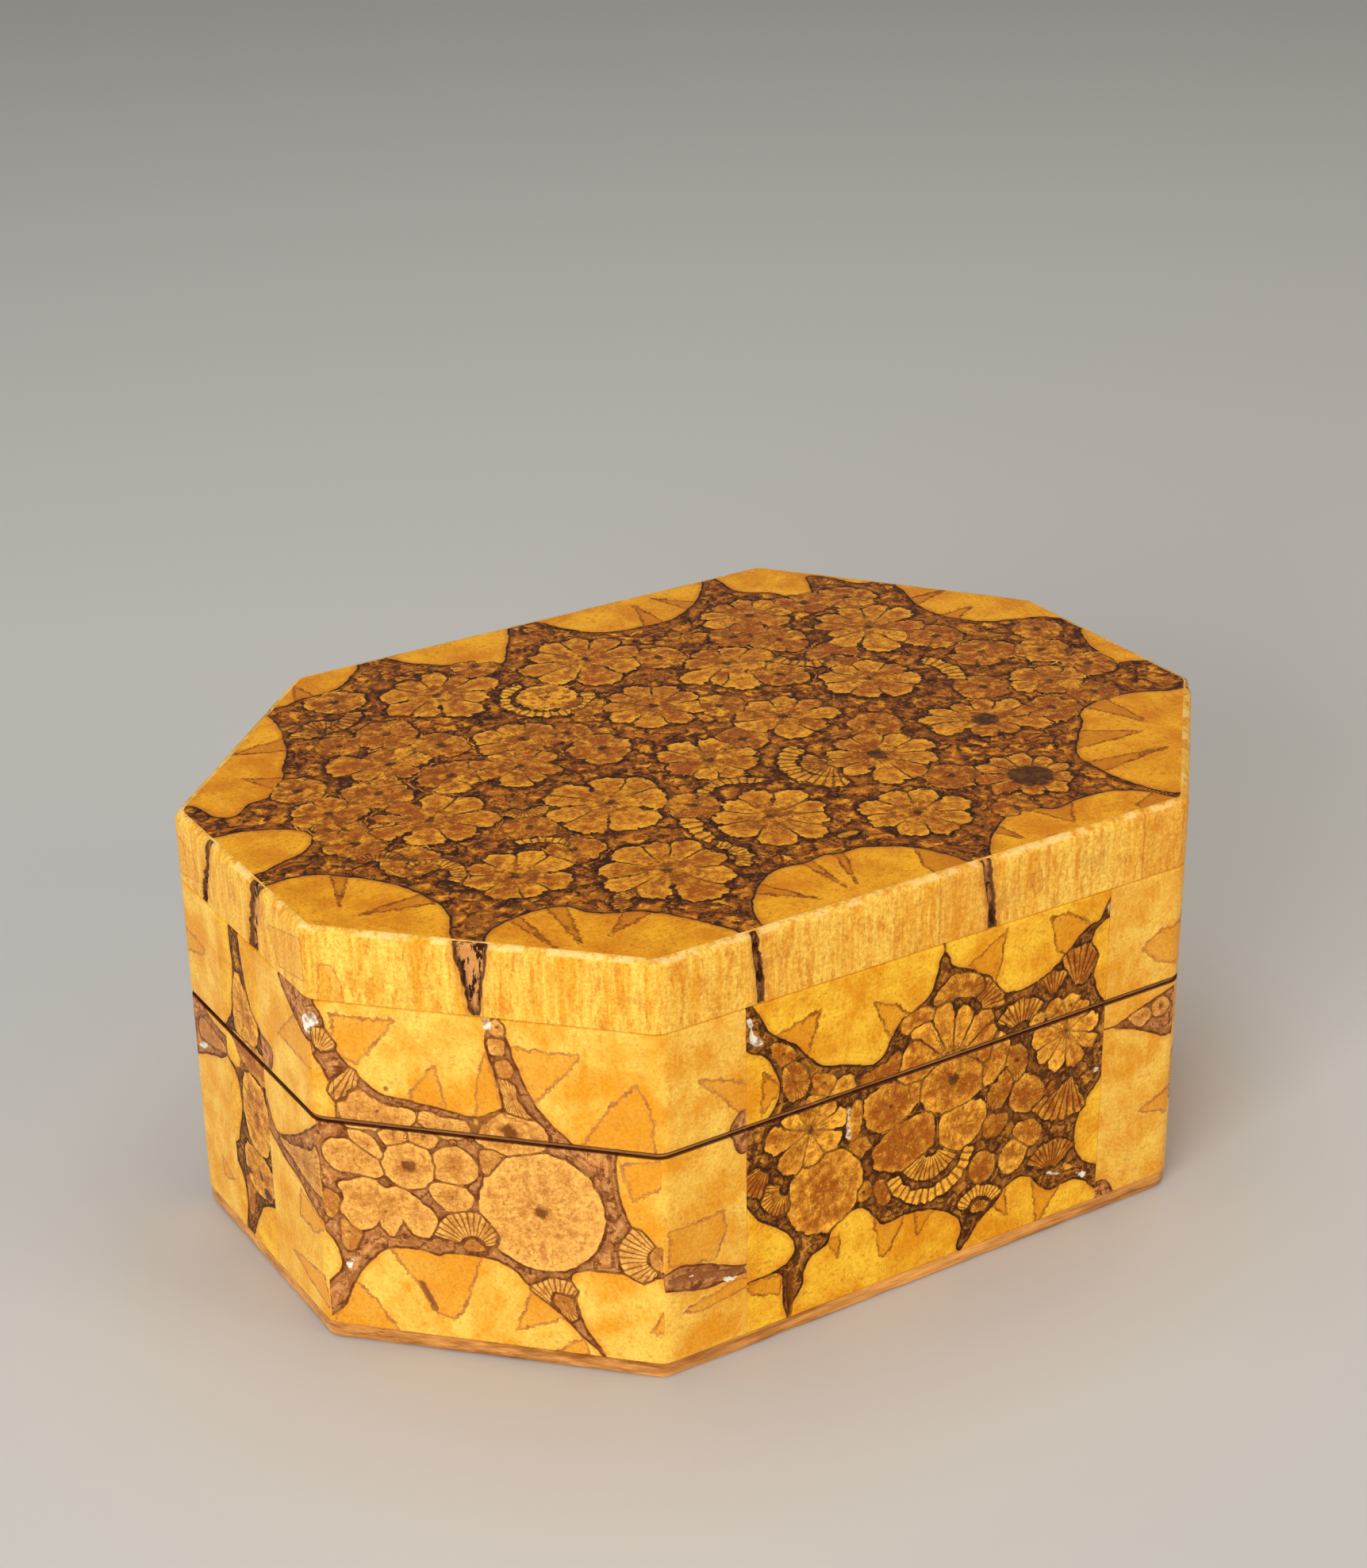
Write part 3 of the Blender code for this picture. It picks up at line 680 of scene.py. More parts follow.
def top_face() -> Figure:
    """The top of the lid, seen from above, in the box's own X and Y.

    Returns:
        The figure: pale lobes round the edge, and rosettes and fans between them.
    """
    lobes = [
        lobe([(-41, 38), (-39.2, 36.8), (-36.9, 36.3), (-34.6, 37.1), (-30.8, 37.2), (-27.7, 38.6),
              (-25.4, 40.9), (-23.3, 43.5), (-23, 47), (-38, 47)], (-33, 46), [(-33.4, 42), (-35.6, 35.6),
              (-32.6, 36.6)]),
        lobe([(-40.6, 38), (-40.1, 31), (-41.3, 27.3), (-42.6, 23.5), (-44.6, 20.4), (-46.5, 16.6),
              (-49.2, 14), (-52, 13.4), (-54.5, 11.5), (-56.7, 12.5), (-57.8, 16.5), (-63, 20),
              (-46, 40)], (-53, 27),
             [(-49, 27), (-42, 24), (-41, 27.6)], [(-50, 20), (-47.6, 14.6), (-45.6, 17.4)]),
        lobe([(-64, 7), (-58, 7.6), (-55, 7), (-51.6, 5.4), (-49.6, 2.4), (-51.5, -0.6), (-55.4, -2.2),
              (-59, -3.2), (-64, -3.8)], (-60, 3)),
        lobe([(-64, -7), (-59.4, -6.2), (-54.2, -6.4), (-50.8, -9.1), (-47.7, -12.9), (-45.8, -17.5),
              (-45.7, -22.2), (-47.4, -26.2), (-51.6, -32), (-64, -21)], (-57, -16),
             [(-54.6, -15), (-50.4, -8.6), (-51.8, -7)], [(-54, -17.6), (-45.4, -17), (-45.8, -19.8)]),
        lobe([(-45.7, -30.3), (-43.2, -28), (-38.5, -27.1), (-34.6, -27.8), (-33.4, -30.2), (-31.4, -31.9),
              (-28.8, -33), (-26.2, -36), (-23.9, -39.8), (-22.2, -44), (-22, -47), (-36, -47), (-48, -33.5)],
             (-36, -41), [(-37.6, -36.6), (-36.4, -26.6), (-34.4, -27.4)],
             [(-34, -36), (-30, -32.2), (-27.6, -34)],
             [(-40, -36.4), (-41.2, -27), (-39.8, -27)]),
        lobe([(-19.9, -47), (-19.8, -43.6), (-19.2, -40.6), (-17.2, -37.2), (-13.8, -34.2), (-10.6, -33),
              (-7.9, -33.4), (-5.5, -32.9), (-3.6, -33.6), (-0.8, -33.8), (3.1, -36), (5.5, -39.3),
              (7, -43.6), (7.3, -47)], (-7, -45),
             [(-7.6, -40.6), (-8.5, -32), (-6.9, -32)], [(-6.2, -40.6), (-3.8, -32), (-2.6, -32.6)],
             [(-11.6, -41), (-16.8, -36), (-15, -34.6)], [(2.3, -47), (2.3, -41), (4, -37), (8, -40),
                 (8, -47)]),
        lobe([(9, -47), (9.5, -43.6), (10.8, -41.4), (13.1, -39), (16.9, -36.4), (20.5, -36), (23, -37.8),
              (26.5, -37.2), (31, -37.6), (34.2, -40), (36.4, -44), (37, -47)], (23, -46),
             [(22.4, -41.6), (19.8, -35.6), (23, -37), (25.8, -36.6)], [(15.4, -42), (13, -38), (14.6, -37)],
             [(30.4, -47), (31, -42), (36, -40), (40, -47)]),
        lobe([(37.4, -42.6), (34.8, -38.5), (33.6, -32.5), (34.2, -27.6), (37, -24.4), (40, -21.4),
              (42.3, -18.4), (46.2, -17), (50.8, -17.4), (54.6, -19.2), (62, -24), (44, -45)], (49, -32),
             [(44.6, -27), (34.6, -26.6), (38.6, -22.6)], [(46.8, -25.4), (43.4, -17.6), (47.2, -16.6)],
             [(44, -32), (33.4, -33), (33.8, -30)]),
        lobe([(64, -12), (57, -9.6), (55.6, -8.5), (56, -4), (57.5, 0), (60, 3), (64, 4)], (63, -4),
             gold=0.8),
        lobe([(48.8, 33), (47.9, 26), (46.6, 21.8), (46.4, 17), (48.4, 12.5), (51.5, 10.2), (56.9, 8.2),
              (60, 5.5), (64, 6), (64, 18), (52, 36)], (56, 20), [(52, 16), (46, 15.6), (47.4, 13)],
              [(53, 22.6), (46.4, 20.4), (46.8, 22.6)]),
        lobe([(30.5, 47), (29.3, 41), (29.6, 37.2), (33, 34.2), (34.2, 31.4), (36.6, 31), (38.6, 34),
              (40, 36.8), (42, 35.5), (44.4, 30.8), (47, 31.6), (47, 40), (39, 47)], (38, 42), gold=0.9),
        lobe([(1.8, 47), (2.6, 42), (4, 38.5), (7, 35.2), (11.5, 33.9), (17, 34), (21.5, 36.3), (24.7, 39.4),
              (27, 42.6), (27.5, 47)], (15, 45), [(15.4, 41), (12.6, 33), (15.6, 33.2)],
              [(18.6, 41.6), (20.8, 35), (23, 37)]),
        lobe([(-20.8, 47), (-19.8, 43), (-17.7, 39.5), (-14.6, 36.7), (-11, 34.8), (-8.5, 33.2), (-6.8, 35.4),
              (-5, 38.2), (-3, 41.5), (-2.6, 47)], (-11, 44)),
    ]
    rosettes = [
        rosette(-17.8, -8.8, 1, [(116, 7.4), (61, 6.8), (23, 7.4), (-20, 6.8), (-92, 7.4), (-144, 8.4),
                (181, 8), (142, 7.4)]),
        rosette(-2.5, -5.4, 1, [(133, 6.1), (100, 6.2), (46, 6.3), (0, 6), (-40, 6.1), (-88, 6),
                (-122, 5.2), (184, 5.5)]),
        rosette(11.7, 0.1, 1, [(147, 6.2), (101, 5.8), (54, 5.9), (17, 6.7), (-21, 6.9), (-66, 6.1),
                (-108, 6.3), (186, 6.4)], gold=0.36),
        rosette(26.9, 3.8, 1, [(141, 6.2), (104, 5.5), (57, 6), (9, 6), (-28, 6.5), (-78, 6.6),
                (-129, 5.7), (184, 6.2)]),
        rosette(0.5, 11.5, 1, [(119, 6.4), (84, 6.5), (41, 6.2), (3, 6), (-38, 6.7), (-82, 6.4),
                (-126, 6.8), (190, 6.5), (150, 6.2)]),
        rosette(14.8, -15, 1, [(147, 6.1), (110, 6.1), (68, 6.4), (28, 6.6), (-5, 7.3), (-42, 7),
                (-80, 7.9), (-111, 8.2), (205, 6.6), (174, 6.9)], pith=1.2),
        rosette(31.3, -13.8, 1, [(151, 8), (126, 6.9), (95, 5.6), (57, 6), (20, 7.2), (-9, 8), (-40, 8),
                (-80, 5), (-125, 5), (176, 7.2)], pith=1.6),
        rosette(9.5, -30, 1, [(134, 6.7), (88, 6.2), (45, 6.2), (-5, 6.6), (-47, 6.3), (-90, 6.2),
                (-132, 6), (173, 6)]),
        rosette(26, -29.4, 1, [(157, 7.2), (126, 6.8), (100, 6.5), (68, 6.3), (32, 5.6), (2, 5.4),
                (-36, 5), (-80, 5.2), (-125, 5), (190, 6.2)], gold=0.22, pith=2.6),
        rosette(36.6, 17.7, 1, [(116, 7.2), (80, 7.4), (46, 7.7), (14, 8.2), (-31, 7.2), (-71, 6.7),
                (-111, 8.6), (206, 8.4), (178, 6), (145, 6.8)]),
        rosette(0.9, 28.6, 1, [(142, 7.2), (107, 7.4), (72, 7.2), (33, 7.4), (-8, 7.4), (-52, 7.3),
                (-105, 8.6), (209, 8.8), (177, 9)]),
        rosette(-19.8, 29, 1, [(111, 6.3), (66, 6.8), (0, 8.4), (-39, 6.3), (-84, 8), (225, 6.9),
                (196, 7.8), (150, 7.1), (34, 6.6)]),
        rosette(15, 17.5, 1, [(100, 5.6), (50, 5.6), (2, 6.6), (-46, 5), (-102, 8.4), (-135, 6.6),
                (195, 7.9), (148, 5.6)]),
        rosette(26, 29.4, 1, [(183, 6.6), (150, 6.3), (112, 5.6), (70, 5.6), (30, 6), (-14, 5.6),
                (-60, 5.6), (232, 6.9)], gold=0.24),
        rosette(-17.6, 11.8, 1, [(141, 5.9), (82, 4.6), (26, 5), (-36, 4.6), (-90, 4), (190, 6), (240, 4)]),
        rosette(-21.6, 5.2, 5.8, 8, 0, 0.2),
        rosette(-34, 14, 1, [(150, 7.3), (196, 5.4), (-77, 4.4), (-5, 5.2), (36, 5.4), (83, 4.2), (240, 5)]),
        rosette(-30.4, 22, 4.2, 6, 20), disc(-36.6, 22, 2.4, 2.2, 0.2, 0.3),
        fan(-36.4, 25.6, 0.8, 4.4, 40, 165, 0.28),
        rosette(-36.9, -1.5, 1, [(145, 6.3), (105, 6.1), (52, 6.6), (12, 7.4), (-30, 7.8), (-73, 6.9),
                (-122, 6.5), (182, 7.7), (163, 7)]),
        rosette(-35.5, -18.7, 1, [(171, 5.8), (130, 5.6), (83, 5.6), (38, 6.2), (0, 6.8), (-49, 6.6),
                (-93, 5.6), (-134, 5.8)]),
        rosette(-21.2, -26.6, 1, [(106, 7.4), (70, 6.8), (38, 7.6), (0, 7), (-47, 7.4), (-87, 8.6),
                (-140, 7.1), (182, 7.9), (149, 7.6)], gold=0.34),
        rosette(-4.8, -21.8, 1, [(111, 6.3), (73, 7), (31, 7.7), (-4, 6.9), (-74, 7.8), (-112, 7.3),
                (192, 6.6), (152, 6.5), (-38, 6.6)], gold=0.36),
        disc(-9.1, 20.9, 3.7, 3.8, 0.3, 0.55), fan(-9.1, 20.9, 4.4, 5.9, 100, 345, 0.42),
    ]
    small = [
        (18.5, 11.2, 3.9, 6, 10), (9, 24, 3.6, 6), (-12.3, 10.5, 2.6, 5), (-11, 4.4, 4.2, 6, 0, 0.2),
        (-45.6, 6, 4.4, 6, 0, 0.28), (-46, 13.4, 3.4, 5), (-38.6, 7.6, 4, 6, 0, 0.24),
        (-29.4, 7.4, 4.4, 6, 0, 0.2), (-11.6, 34.4, 3, 5), (-26.4, 15.6, 3.4, 5, 0, 0.24),
        (-46.6, -2.4, 3.6, 6, 0, 0.24), (43.7, 3, 4.4, 6, 0, 0.24), (50.3, -0.8, 3.4, 5, 0, 0.28),
        (45, -9, 4.8, 6, 0, 0.22), (52.4, -7.2, 3.4, 5, 0, 0.26), (42, 10.4, 4, 6, 0, 0.12),
        (24.6, 20.4, 4.2, 6, 0, 0.12), (27.6, 12.4, 3.8, 5, 0, 0.08), (40.2, 27.6, 4.4, 6, 0, 0.2),
        (34.4, 29.4, 3.6, 5, 0, 0.2), (54, 5, 3, 5, 0, 0.15), (37, -6, 3.6, 5, 0, 0.08),
        (-10.6, -14.6, 3, 5, 0, 0.2), (4, -2.6, 3, 5, 0, 0.15), (19.6, -7.4, 3.2, 5, 0, 0.1),
        (-27.2, -17, 3.2, 5, 0, 0.24), (-43.4, -9.6, 3.4, 5, 0, 0.24), (-28.6, -9.4, 3, 5, 0, 0.2),
        (40, -15.6, 3.6, 6, 0, 0.16), (18.4, -24.4, 3.2, 5, 0, 0.16), (-31.4, 34, 3.6, 5, 0, 0.22),
        (-6.8, 16.2, 2.8, 5, 0, 0.24), (19.4, -35.2, 2.6, 5, 0, 0.16), (47.4, -14.6, 3.2, 5, 0, 0.2),
        (7, 7.2, 2.8, 5, 0, 0.2), (-46.4, 1.6, 3, 5, 0, 0.2), (20.4, 24.6, 2.8, 5, 0, 0.16),
    ]
    combs = [
        (-4.6, -16.6, 4.4, 6, 30, 150, 0.4), (-6.2, -20.6, 6.4, 8.2, 150, 200, 0.4),
        (-43.4, -13.6, 2.4, 4.2, -60, 120, 0.4),
        (-31, -16.6, 3.6, 5.2, 10, 100, 0.38), (-47, -8.6, 1.4, 3.6, -10, 120, 0.3),
        (9.3, -13.8, 4.2, 6.6, 105, 255, 0.34),
        (9.3, -13.8, 0.8, 3.8, 110, 250, 0.34), (26, 16.4, 4.4, 6.2, 190, 300, 0.28),
        (-35, 31.6, 3.4, 5.6, 190, 340, 0.25),
        (-15.6, -27.2, 2.4, 4.2, -60, 50, 0.4), (-26.6, -4.4, 1, 3, 180, 330, 0.4),
        (31.4, 1.2, 4.6, 6.8, -40, 40, 0.16),
        (-27.4, -31.4, 1.2, 3.2, 60, 200, 0.3), (0, -31, 0.3, 1.6, 20, 160, 0.6),
    ]
    rosettes += [rosette(*sizes) for sizes in small]
    return Figure(lobes + rosettes + [fan(*sizes) for sizes in combs])


def edge_face() -> Figure:
    """The lid's edge as (walked length, height), drawn on the three sides that show.

    Returns:
        The figure, one long lobe with darker wedges, and with crevices as its cracks.
    """
    front, corner, left = 0.0, OUTLINE.starts[7], OUTLINE.starts[6]
    crevices = {
        front: [[(10.9, 54), (12, 54), (12.2, 49.4), (12.8, 47), (12.9, 43), (11.9, 43), (11.7, 46.4),
                 (11.3, 49)],
                [(40.7, 54), (42, 54), (42.5, 49), (43.1, 46.4), (42.9, 44.6), (43.3, 43), (42, 43),
                 (41.9, 46), (41.2, 49.4)]],
        corner: [[(16.1, 54), (20.1, 54), (19.9, 49.6), (19.4, 47), (19.2, 45.2), (18.9, 43), (18, 43),
                  (17.4, 45),
                  (16.9, 48), (16.3, 50)]],
        left: [[(9.4, 54), (10.4, 54), (9.6, 49), (8.6, 46), (7.9, 43), (6.4, 43), (7.2, 46), (8.4, 49)],
               [(20.7, 54), (23.5, 54), (22.4, 49), (21.6, 46), (21.3, 43), (19.2, 43), (19.4, 46),
                (20.2, 49)]],
    }
    wedges = {
        front: [[(35.3, 53), (40.9, 53), (41.4, 49), (42, 43), (42, 42), (35.3, 42)],
                [(63.6, 53), (76, 53), (76, 42), (63.6, 42)],
                [(47.4, 48), (49, 48.4), (49.4, 46), (48.4, 45.6)]],
        corner: [[(20.2, 54), (21.9, 51), (22.1, 48.4), (23.6, 47), (23.4, 43), (23.6, 42), (19.2, 42),
                  (19.4, 47)],
                 [(1.6, 47.4), (3, 47.6), (4, 45), (4.2, 42), (1.2, 42)]],
        left: [[(24.6, 48), (33, 50), (33, 45), (27, 44)], [(0, 49), (5, 48), (6, 45), (0, 44)]],
    }
    moved = [[[(start + along, up) for along, up in loop] for start, loops in group.items() for loop in loops]
             for group in (crevices, wedges)]
    return Figure([lobe([(-40, 70), (-40, 20), (290, 20), (290, 70)], (120, -60), *moved[1])],
                  [np.array(loop) for loop in moved[0]])


def faces() -> dict[tuple[Side, Side], Figure]:
    """The figure of each slice on each side of the box where it shows.

    Hidden sides repeat the ones that show, most of them in a mirror.

    Returns:
        The figures by slice and by the side that its wood shows on.
    """
    long_side, end_side, right_corner, back_corner = 69, 33, 36.4, 39.2
    front, corner, left = front_face(), front_left_face(), left_face()
    left_end, right_end = front_left_on_front(), front_right_on_front()
    near_end, far_end = front_left_on_left(), back_left_on_left()
    return {
        (Side.FRONT_LEFT, Side.FRONT_LEFT): corner, (Side.FRONT_LEFT, Side.FRONT): left_end,
        (Side.FRONT_LEFT, Side.LEFT): near_end, (Side.FRONT, Side.FRONT): front,
        (Side.FRONT_RIGHT, Side.FRONT): right_end, (Side.LEFT, Side.LEFT): left,
        (Side.BACK_LEFT, Side.LEFT): far_end, (Side.FRONT_RIGHT,
                                               Side.FRONT_RIGHT): corner.mirror(right_corner),
        (Side.FRONT_RIGHT, Side.RIGHT): near_end.mirror(end_side),
        (Side.RIGHT, Side.RIGHT): left.mirror(end_side),
        (Side.BACK_RIGHT, Side.RIGHT): far_end.mirror(end_side), (Side.BACK_RIGHT, Side.BACK_RIGHT): corner,
        (Side.BACK_RIGHT, Side.BACK): right_end.mirror(long_side),
        (Side.BACK, Side.BACK): front.mirror(long_side),
        (Side.BACK_LEFT, Side.BACK): left_end.mirror(long_side),
        (Side.BACK_LEFT, Side.BACK_LEFT): corner.mirror(back_corner),
    }


# How far each corner slice runs along the sides before and after its own
SEAMS = {Side.FRONT_RIGHT: (10.7, 10.2), Side.BACK_RIGHT: (10.2, 10.2),
         Side.BACK_LEFT: (10.2, 10.0), Side.FRONT_LEFT: (13.2, 10.4)}
SEAM_GAP = 0.04
# The thickness left at the ends of a corner slice
THIN_END = 0.25
VISIBLE = (Side.FRONT, Side.FRONT_LEFT, Side.LEFT, Side.FRONT_RIGHT)
# The grid's spacing on slices that show in the photo and on hidden ones
FINE_PITCH, COARSE_PITCH = 0.24, 0.5


@dataclass(frozen=True)
class Section:
    """A slice's upright section, from the foot of its outer face up, in and back down.

    The first outer rows lie on the face itself. A corner lies inset millimetres and then a share of the
    thickness in, at its height plus a rise that fades out where the slice is thin.
    """

    inset: Points
    share: Points
    height: Points
    rise: Points
    outer: int

    @classmethod
    def of_wall(cls, foot: float, head: float, pitch: float, inner: list[tuple[float, float, float]],
                rounding: float = 0.3) -> "Section":
        """A section with fine rows on its outer face and rounded edges at foot and head.

        Args:
            foot: the outer face's lowest height.
            head: its highest.
            pitch: the rows' spacing.
            inner: share, height and rise of each corner behind the face, from the head round to the foot.
            rounding: the edges' radius.

        Returns:
            The finished section.
        """
        turns = np.radians([90.0, 60.0, 30.0, 0.0])
        rows = np.linspace(foot + rounding, head - rounding, max(int((head - foot) / pitch), 2))
        low = foot + rounding * (1 - np.sin(turns[:-1]))
        high = head - rounding * (1 - np.sin(turns[::-1][1:]))
        edge = rounding * (1 - np.cos(turns))
        inset = np.concatenate([edge[:-1], np.zeros(len(rows)), edge[::-1][1:], np.zeros(len(inner))])
        height = np.concatenate([low, rows, high, [corner[1] for corner in inner]])
        share = np.concatenate([np.zeros(len(rows) + 6), [corner[0] for corner in inner]])
        rise = np.concatenate([np.zeros(len(rows) + 6), [corner[2] for corner in inner]])
        return cls(inset, share, height, rise, len(rows) + 6)


def add_mesh(name: str, places: Points, polygons: list[list[int]], finishes: list[bpy.types.Material],
             numbers: list[int], attributes: dict[str, Points]) -> bpy.types.Object:
    """Makes one smooth-shaded piece from plain arrays.

    Args:
        name: the piece's name.
        places: its points in millimetres.
        polygons: each face's points, anticlockwise from outside.
        finishes: its materials.
        numbers: each face's material number.
        attributes: vectors kept at the points, by name.

    Returns:
        The new object, linked into the scene.
    """
    mesh = bpy.data.meshes.new(name)
    mesh.from_pydata((places * MM).tolist(), [], polygons)
    for key, values in attributes.items():
        mesh.attributes.new(key, "FLOAT_VECTOR", "POINT").data.foreach_set("vector",
                values.astype(np.float32).ravel())
    for finish in finishes:
        mesh.materials.append(finish)
    mesh.polygons.foreach_set("material_index", np.array(numbers, np.int32))
    mesh.polygons.foreach_set("use_smooth", np.ones(len(polygons), bool))
    mesh.update()
    mesh.set_sharp_from_angle(angle=math.radians(38))
    piece = bpy.data.objects.new(name, mesh)
    bpy.context.scene.collection.objects.link(piece)
    return piece


def relief_of(reading: Reading) -> Points:
    """How far each point sinks: a little between the forms and more in cracks and knocked-out chips."""
    between = np.clip(0.3 - reading.near, 0, 0.6) / 0.6
    return 0.03 * between + 0.35 * np.clip(reading.crack / 0.3, 0, 1) + 0.12 * np.clip(reading.chip / 0.2, 0,
            1)


class Part(Enum):
    """Which ring of slices a slice belongs to."""

    BASE = "base_wall"
    RIM = "lid_rim"


@dataclass
class Ring:
    """The eight glued slices of the base's walls or of the lid's rim."""

    part: Part
    figures: dict[tuple[Side, Side], Figure]
    corner: bpy.types.Material
    straight: bpy.types.Material
    inside: bpy.types.Material

    FOOT = {Part.BASE: 1.95, Part.RIM: 28.62}
    HEAD = {Part.BASE: 28.3, Part.RIM: 43.0}

    def section(self, pitch: float) -> Section:
        """The ring's section: the base carries a lip inside and the rim has the room for it.

        Args:
            pitch: the rows' spacing.

        Returns:
            The finished section.
        """
        foot, head, lip = self.FOOT[self.part], self.HEAD[self.part], LIP_DEPTH / WALL
        if self.part is Part.BASE:
            inner = [(lip, head, 0.0), (lip, head, 3.5), (1.0, head, 3.5), (1.0, foot, 0.0)]
        else:
            inner = [(1.0, head, 0.0), (1.0, foot, 3.8), (lip - 0.06, foot, 3.8), (lip - 0.06, foot, 0.0)]
        return Section.of_wall(foot, head, pitch, inner)

    def span(self, side: Side) -> tuple[float, float]:
        """Where a slice starts and ends on the outline.

        Args:
            side: the slice's side.

        Returns:
            The two walked lengths.
        """
        number = side.value
        start, end = OUTLINE.starts[number], OUTLINE.starts[number + 1]
        if side in SEAMS:
            return start - SEAMS[side][0], end + SEAMS[side][1]
        before, after = Side((number - 1) % 8), Side((number + 1) % 8)
        return start + SEAMS[before][1] + SEAM_GAP, end - SEAMS[after][0] - SEAM_GAP

    def inner_ends(self, side: Side, ends: Points) -> Points:
        """The two ends of a slice's inner line.

        A corner slice's back runs straight from one of its seams to the other. A straight slice's ends run in
        along the backs of the corner slices beside it until they are the wall's thickness deep.

        Args:
            side: the slice's side.
            ends: the two walked lengths of the slice.

        Returns:
            The inner line's ends, one row each.
        """
        place, outward = OUTLINE.at(ends)
        if side in SEAMS:
            return place - outward * THIN_END
        inner = []
        for number, neighbour in enumerate((Side((side.value - 1) % 8), Side((side.value + 1) % 8))):
            back = OUTLINE.at(np.array(self.span(neighbour)))[0]
            run = (back[0] - back[1]) * (1 - 2 * number)
            run = run / np.hypot(*run)
            inner.append(place[number] + run * WALL / -(run @ outward[number]))
        return np.array(inner)

    def slice(self, side: Side) -> bpy.types.Object:
        """Builds one slice.

        Lines run from the outline in to the slice's inner line, and the section stands on each of them.

        Args:
            side: which side it covers.

        Returns:
            The finished piece.
        """
        pitch = FINE_PITCH if side in VISIBLE else COARSE_PITCH
        section = self.section(pitch)
        ends = np.array(self.span(side))
        walk = np.linspace(ends[0], ends[1], int((ends[1] - ends[0]) / pitch) + 1)
        place, outward = OUTLINE.at(walk)
        inner = self.inner_ends(side, ends)
        share = ((walk - ends[0]) / (ends[1] - ends[0]))[:, None]
        line = inner[0] + (inner[1] - inner[0]) * share - place
        depth = np.hypot(line[:, 0], line[:, 1])[:, None]
        flat = place[:, None] + line[:, None] * section.share[None, :, None] - outward[:,
                None] * section.inset[None, :, None]
        height = section.height + section.rise * np.clip((depth - 3) / 1.5, 0, 1)
        reading, outer = self.read(side, walk, section)
        sink = np.zeros(height.shape)
        sink[:, :section.outer] = relief_of(reading).reshape(len(walk), section.outer)
        flat = flat - outward[:, None] * sink[:, :, None]
        places = np.concatenate([flat, height[:, :, None]], 2).reshape(-1, 3)
        polygons, numbers = self.weave(len(walk), section)
        kept = {}
        for key, values in reading.attributes().items():
            kept[key] = np.zeros((len(places), 3))
            kept[key][outer] = values
        name = f"{self.part.value}_{side.name.lower()}"
        piece = add_mesh(f"{name}_wood", places, polygons,
                         [self.corner if side in SEAMS else self.straight, self.inside], numbers, kept)
        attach(piece, "root")
        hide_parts(name)
        return piece

    def read(self, side: Side, walk: Points, section: Section) -> tuple[Reading, Points]:
        """Reads the figure at the points of a slice's outer face.

        Args:
            side: the slice's side.
            walk: the walked lengths of its lines.
            section: its section.

        Returns:
            The reading, and the numbers of its points in the slice's mesh.
        """
        rows = len(section.height)
        outer = (np.arange(len(walk))[:, None] * rows + np.arange(section.outer)).ravel()
        reading = Reading(len(outer))
        number, along = OUTLINE.side_of(walk)
        heights = np.tile(section.height[:section.outer], len(walk))
        for face in set(number.tolist()):
            chosen = np.flatnonzero(np.repeat(number == face, section.outer))
            at = np.column_stack([np.repeat(along, section.outer)[chosen], heights[chosen]])
            reading.read(self.figures[side, Side(face)], at, chosen, self.part is Part.RIM)
        return reading, outer

    @staticmethod
    def weave(count: int, section: Section) -> tuple[list[list[int]], list[int]]:
        """The faces between neighbouring lines of a slice and across its two ends.

        Args:
            count: how many lines there are.
            section: the section that stands on each.

        Returns:
            The faces and their material numbers, 0 for the outer face and 1 for bare wood.
        """
        rows = len(section.height)
        line, row = np.meshgrid(np.arange(count - 1), np.arange(rows), indexing="ij")
        above = (row + 1) % rows
        quads = np.stack([line * rows + row, (line + 1) * rows + row, (line + 1) * rows + above,
                          line * rows + above], 2)
        polygons = quads.reshape(-1, 4).tolist()
        numbers = np.where(row < section.outer - 1, 0, 1).ravel().tolist()
        polygons.append(list(range(rows)))
        polygons.append(list(range(count * rows - 1, (count - 1) * rows - 1, -1)))
        return polygons, numbers + [1, 1]

    def build(self) -> list[bpy.types.Object]:
        """Builds all eight slices."""
        return [self.slice(side) for side in Side]


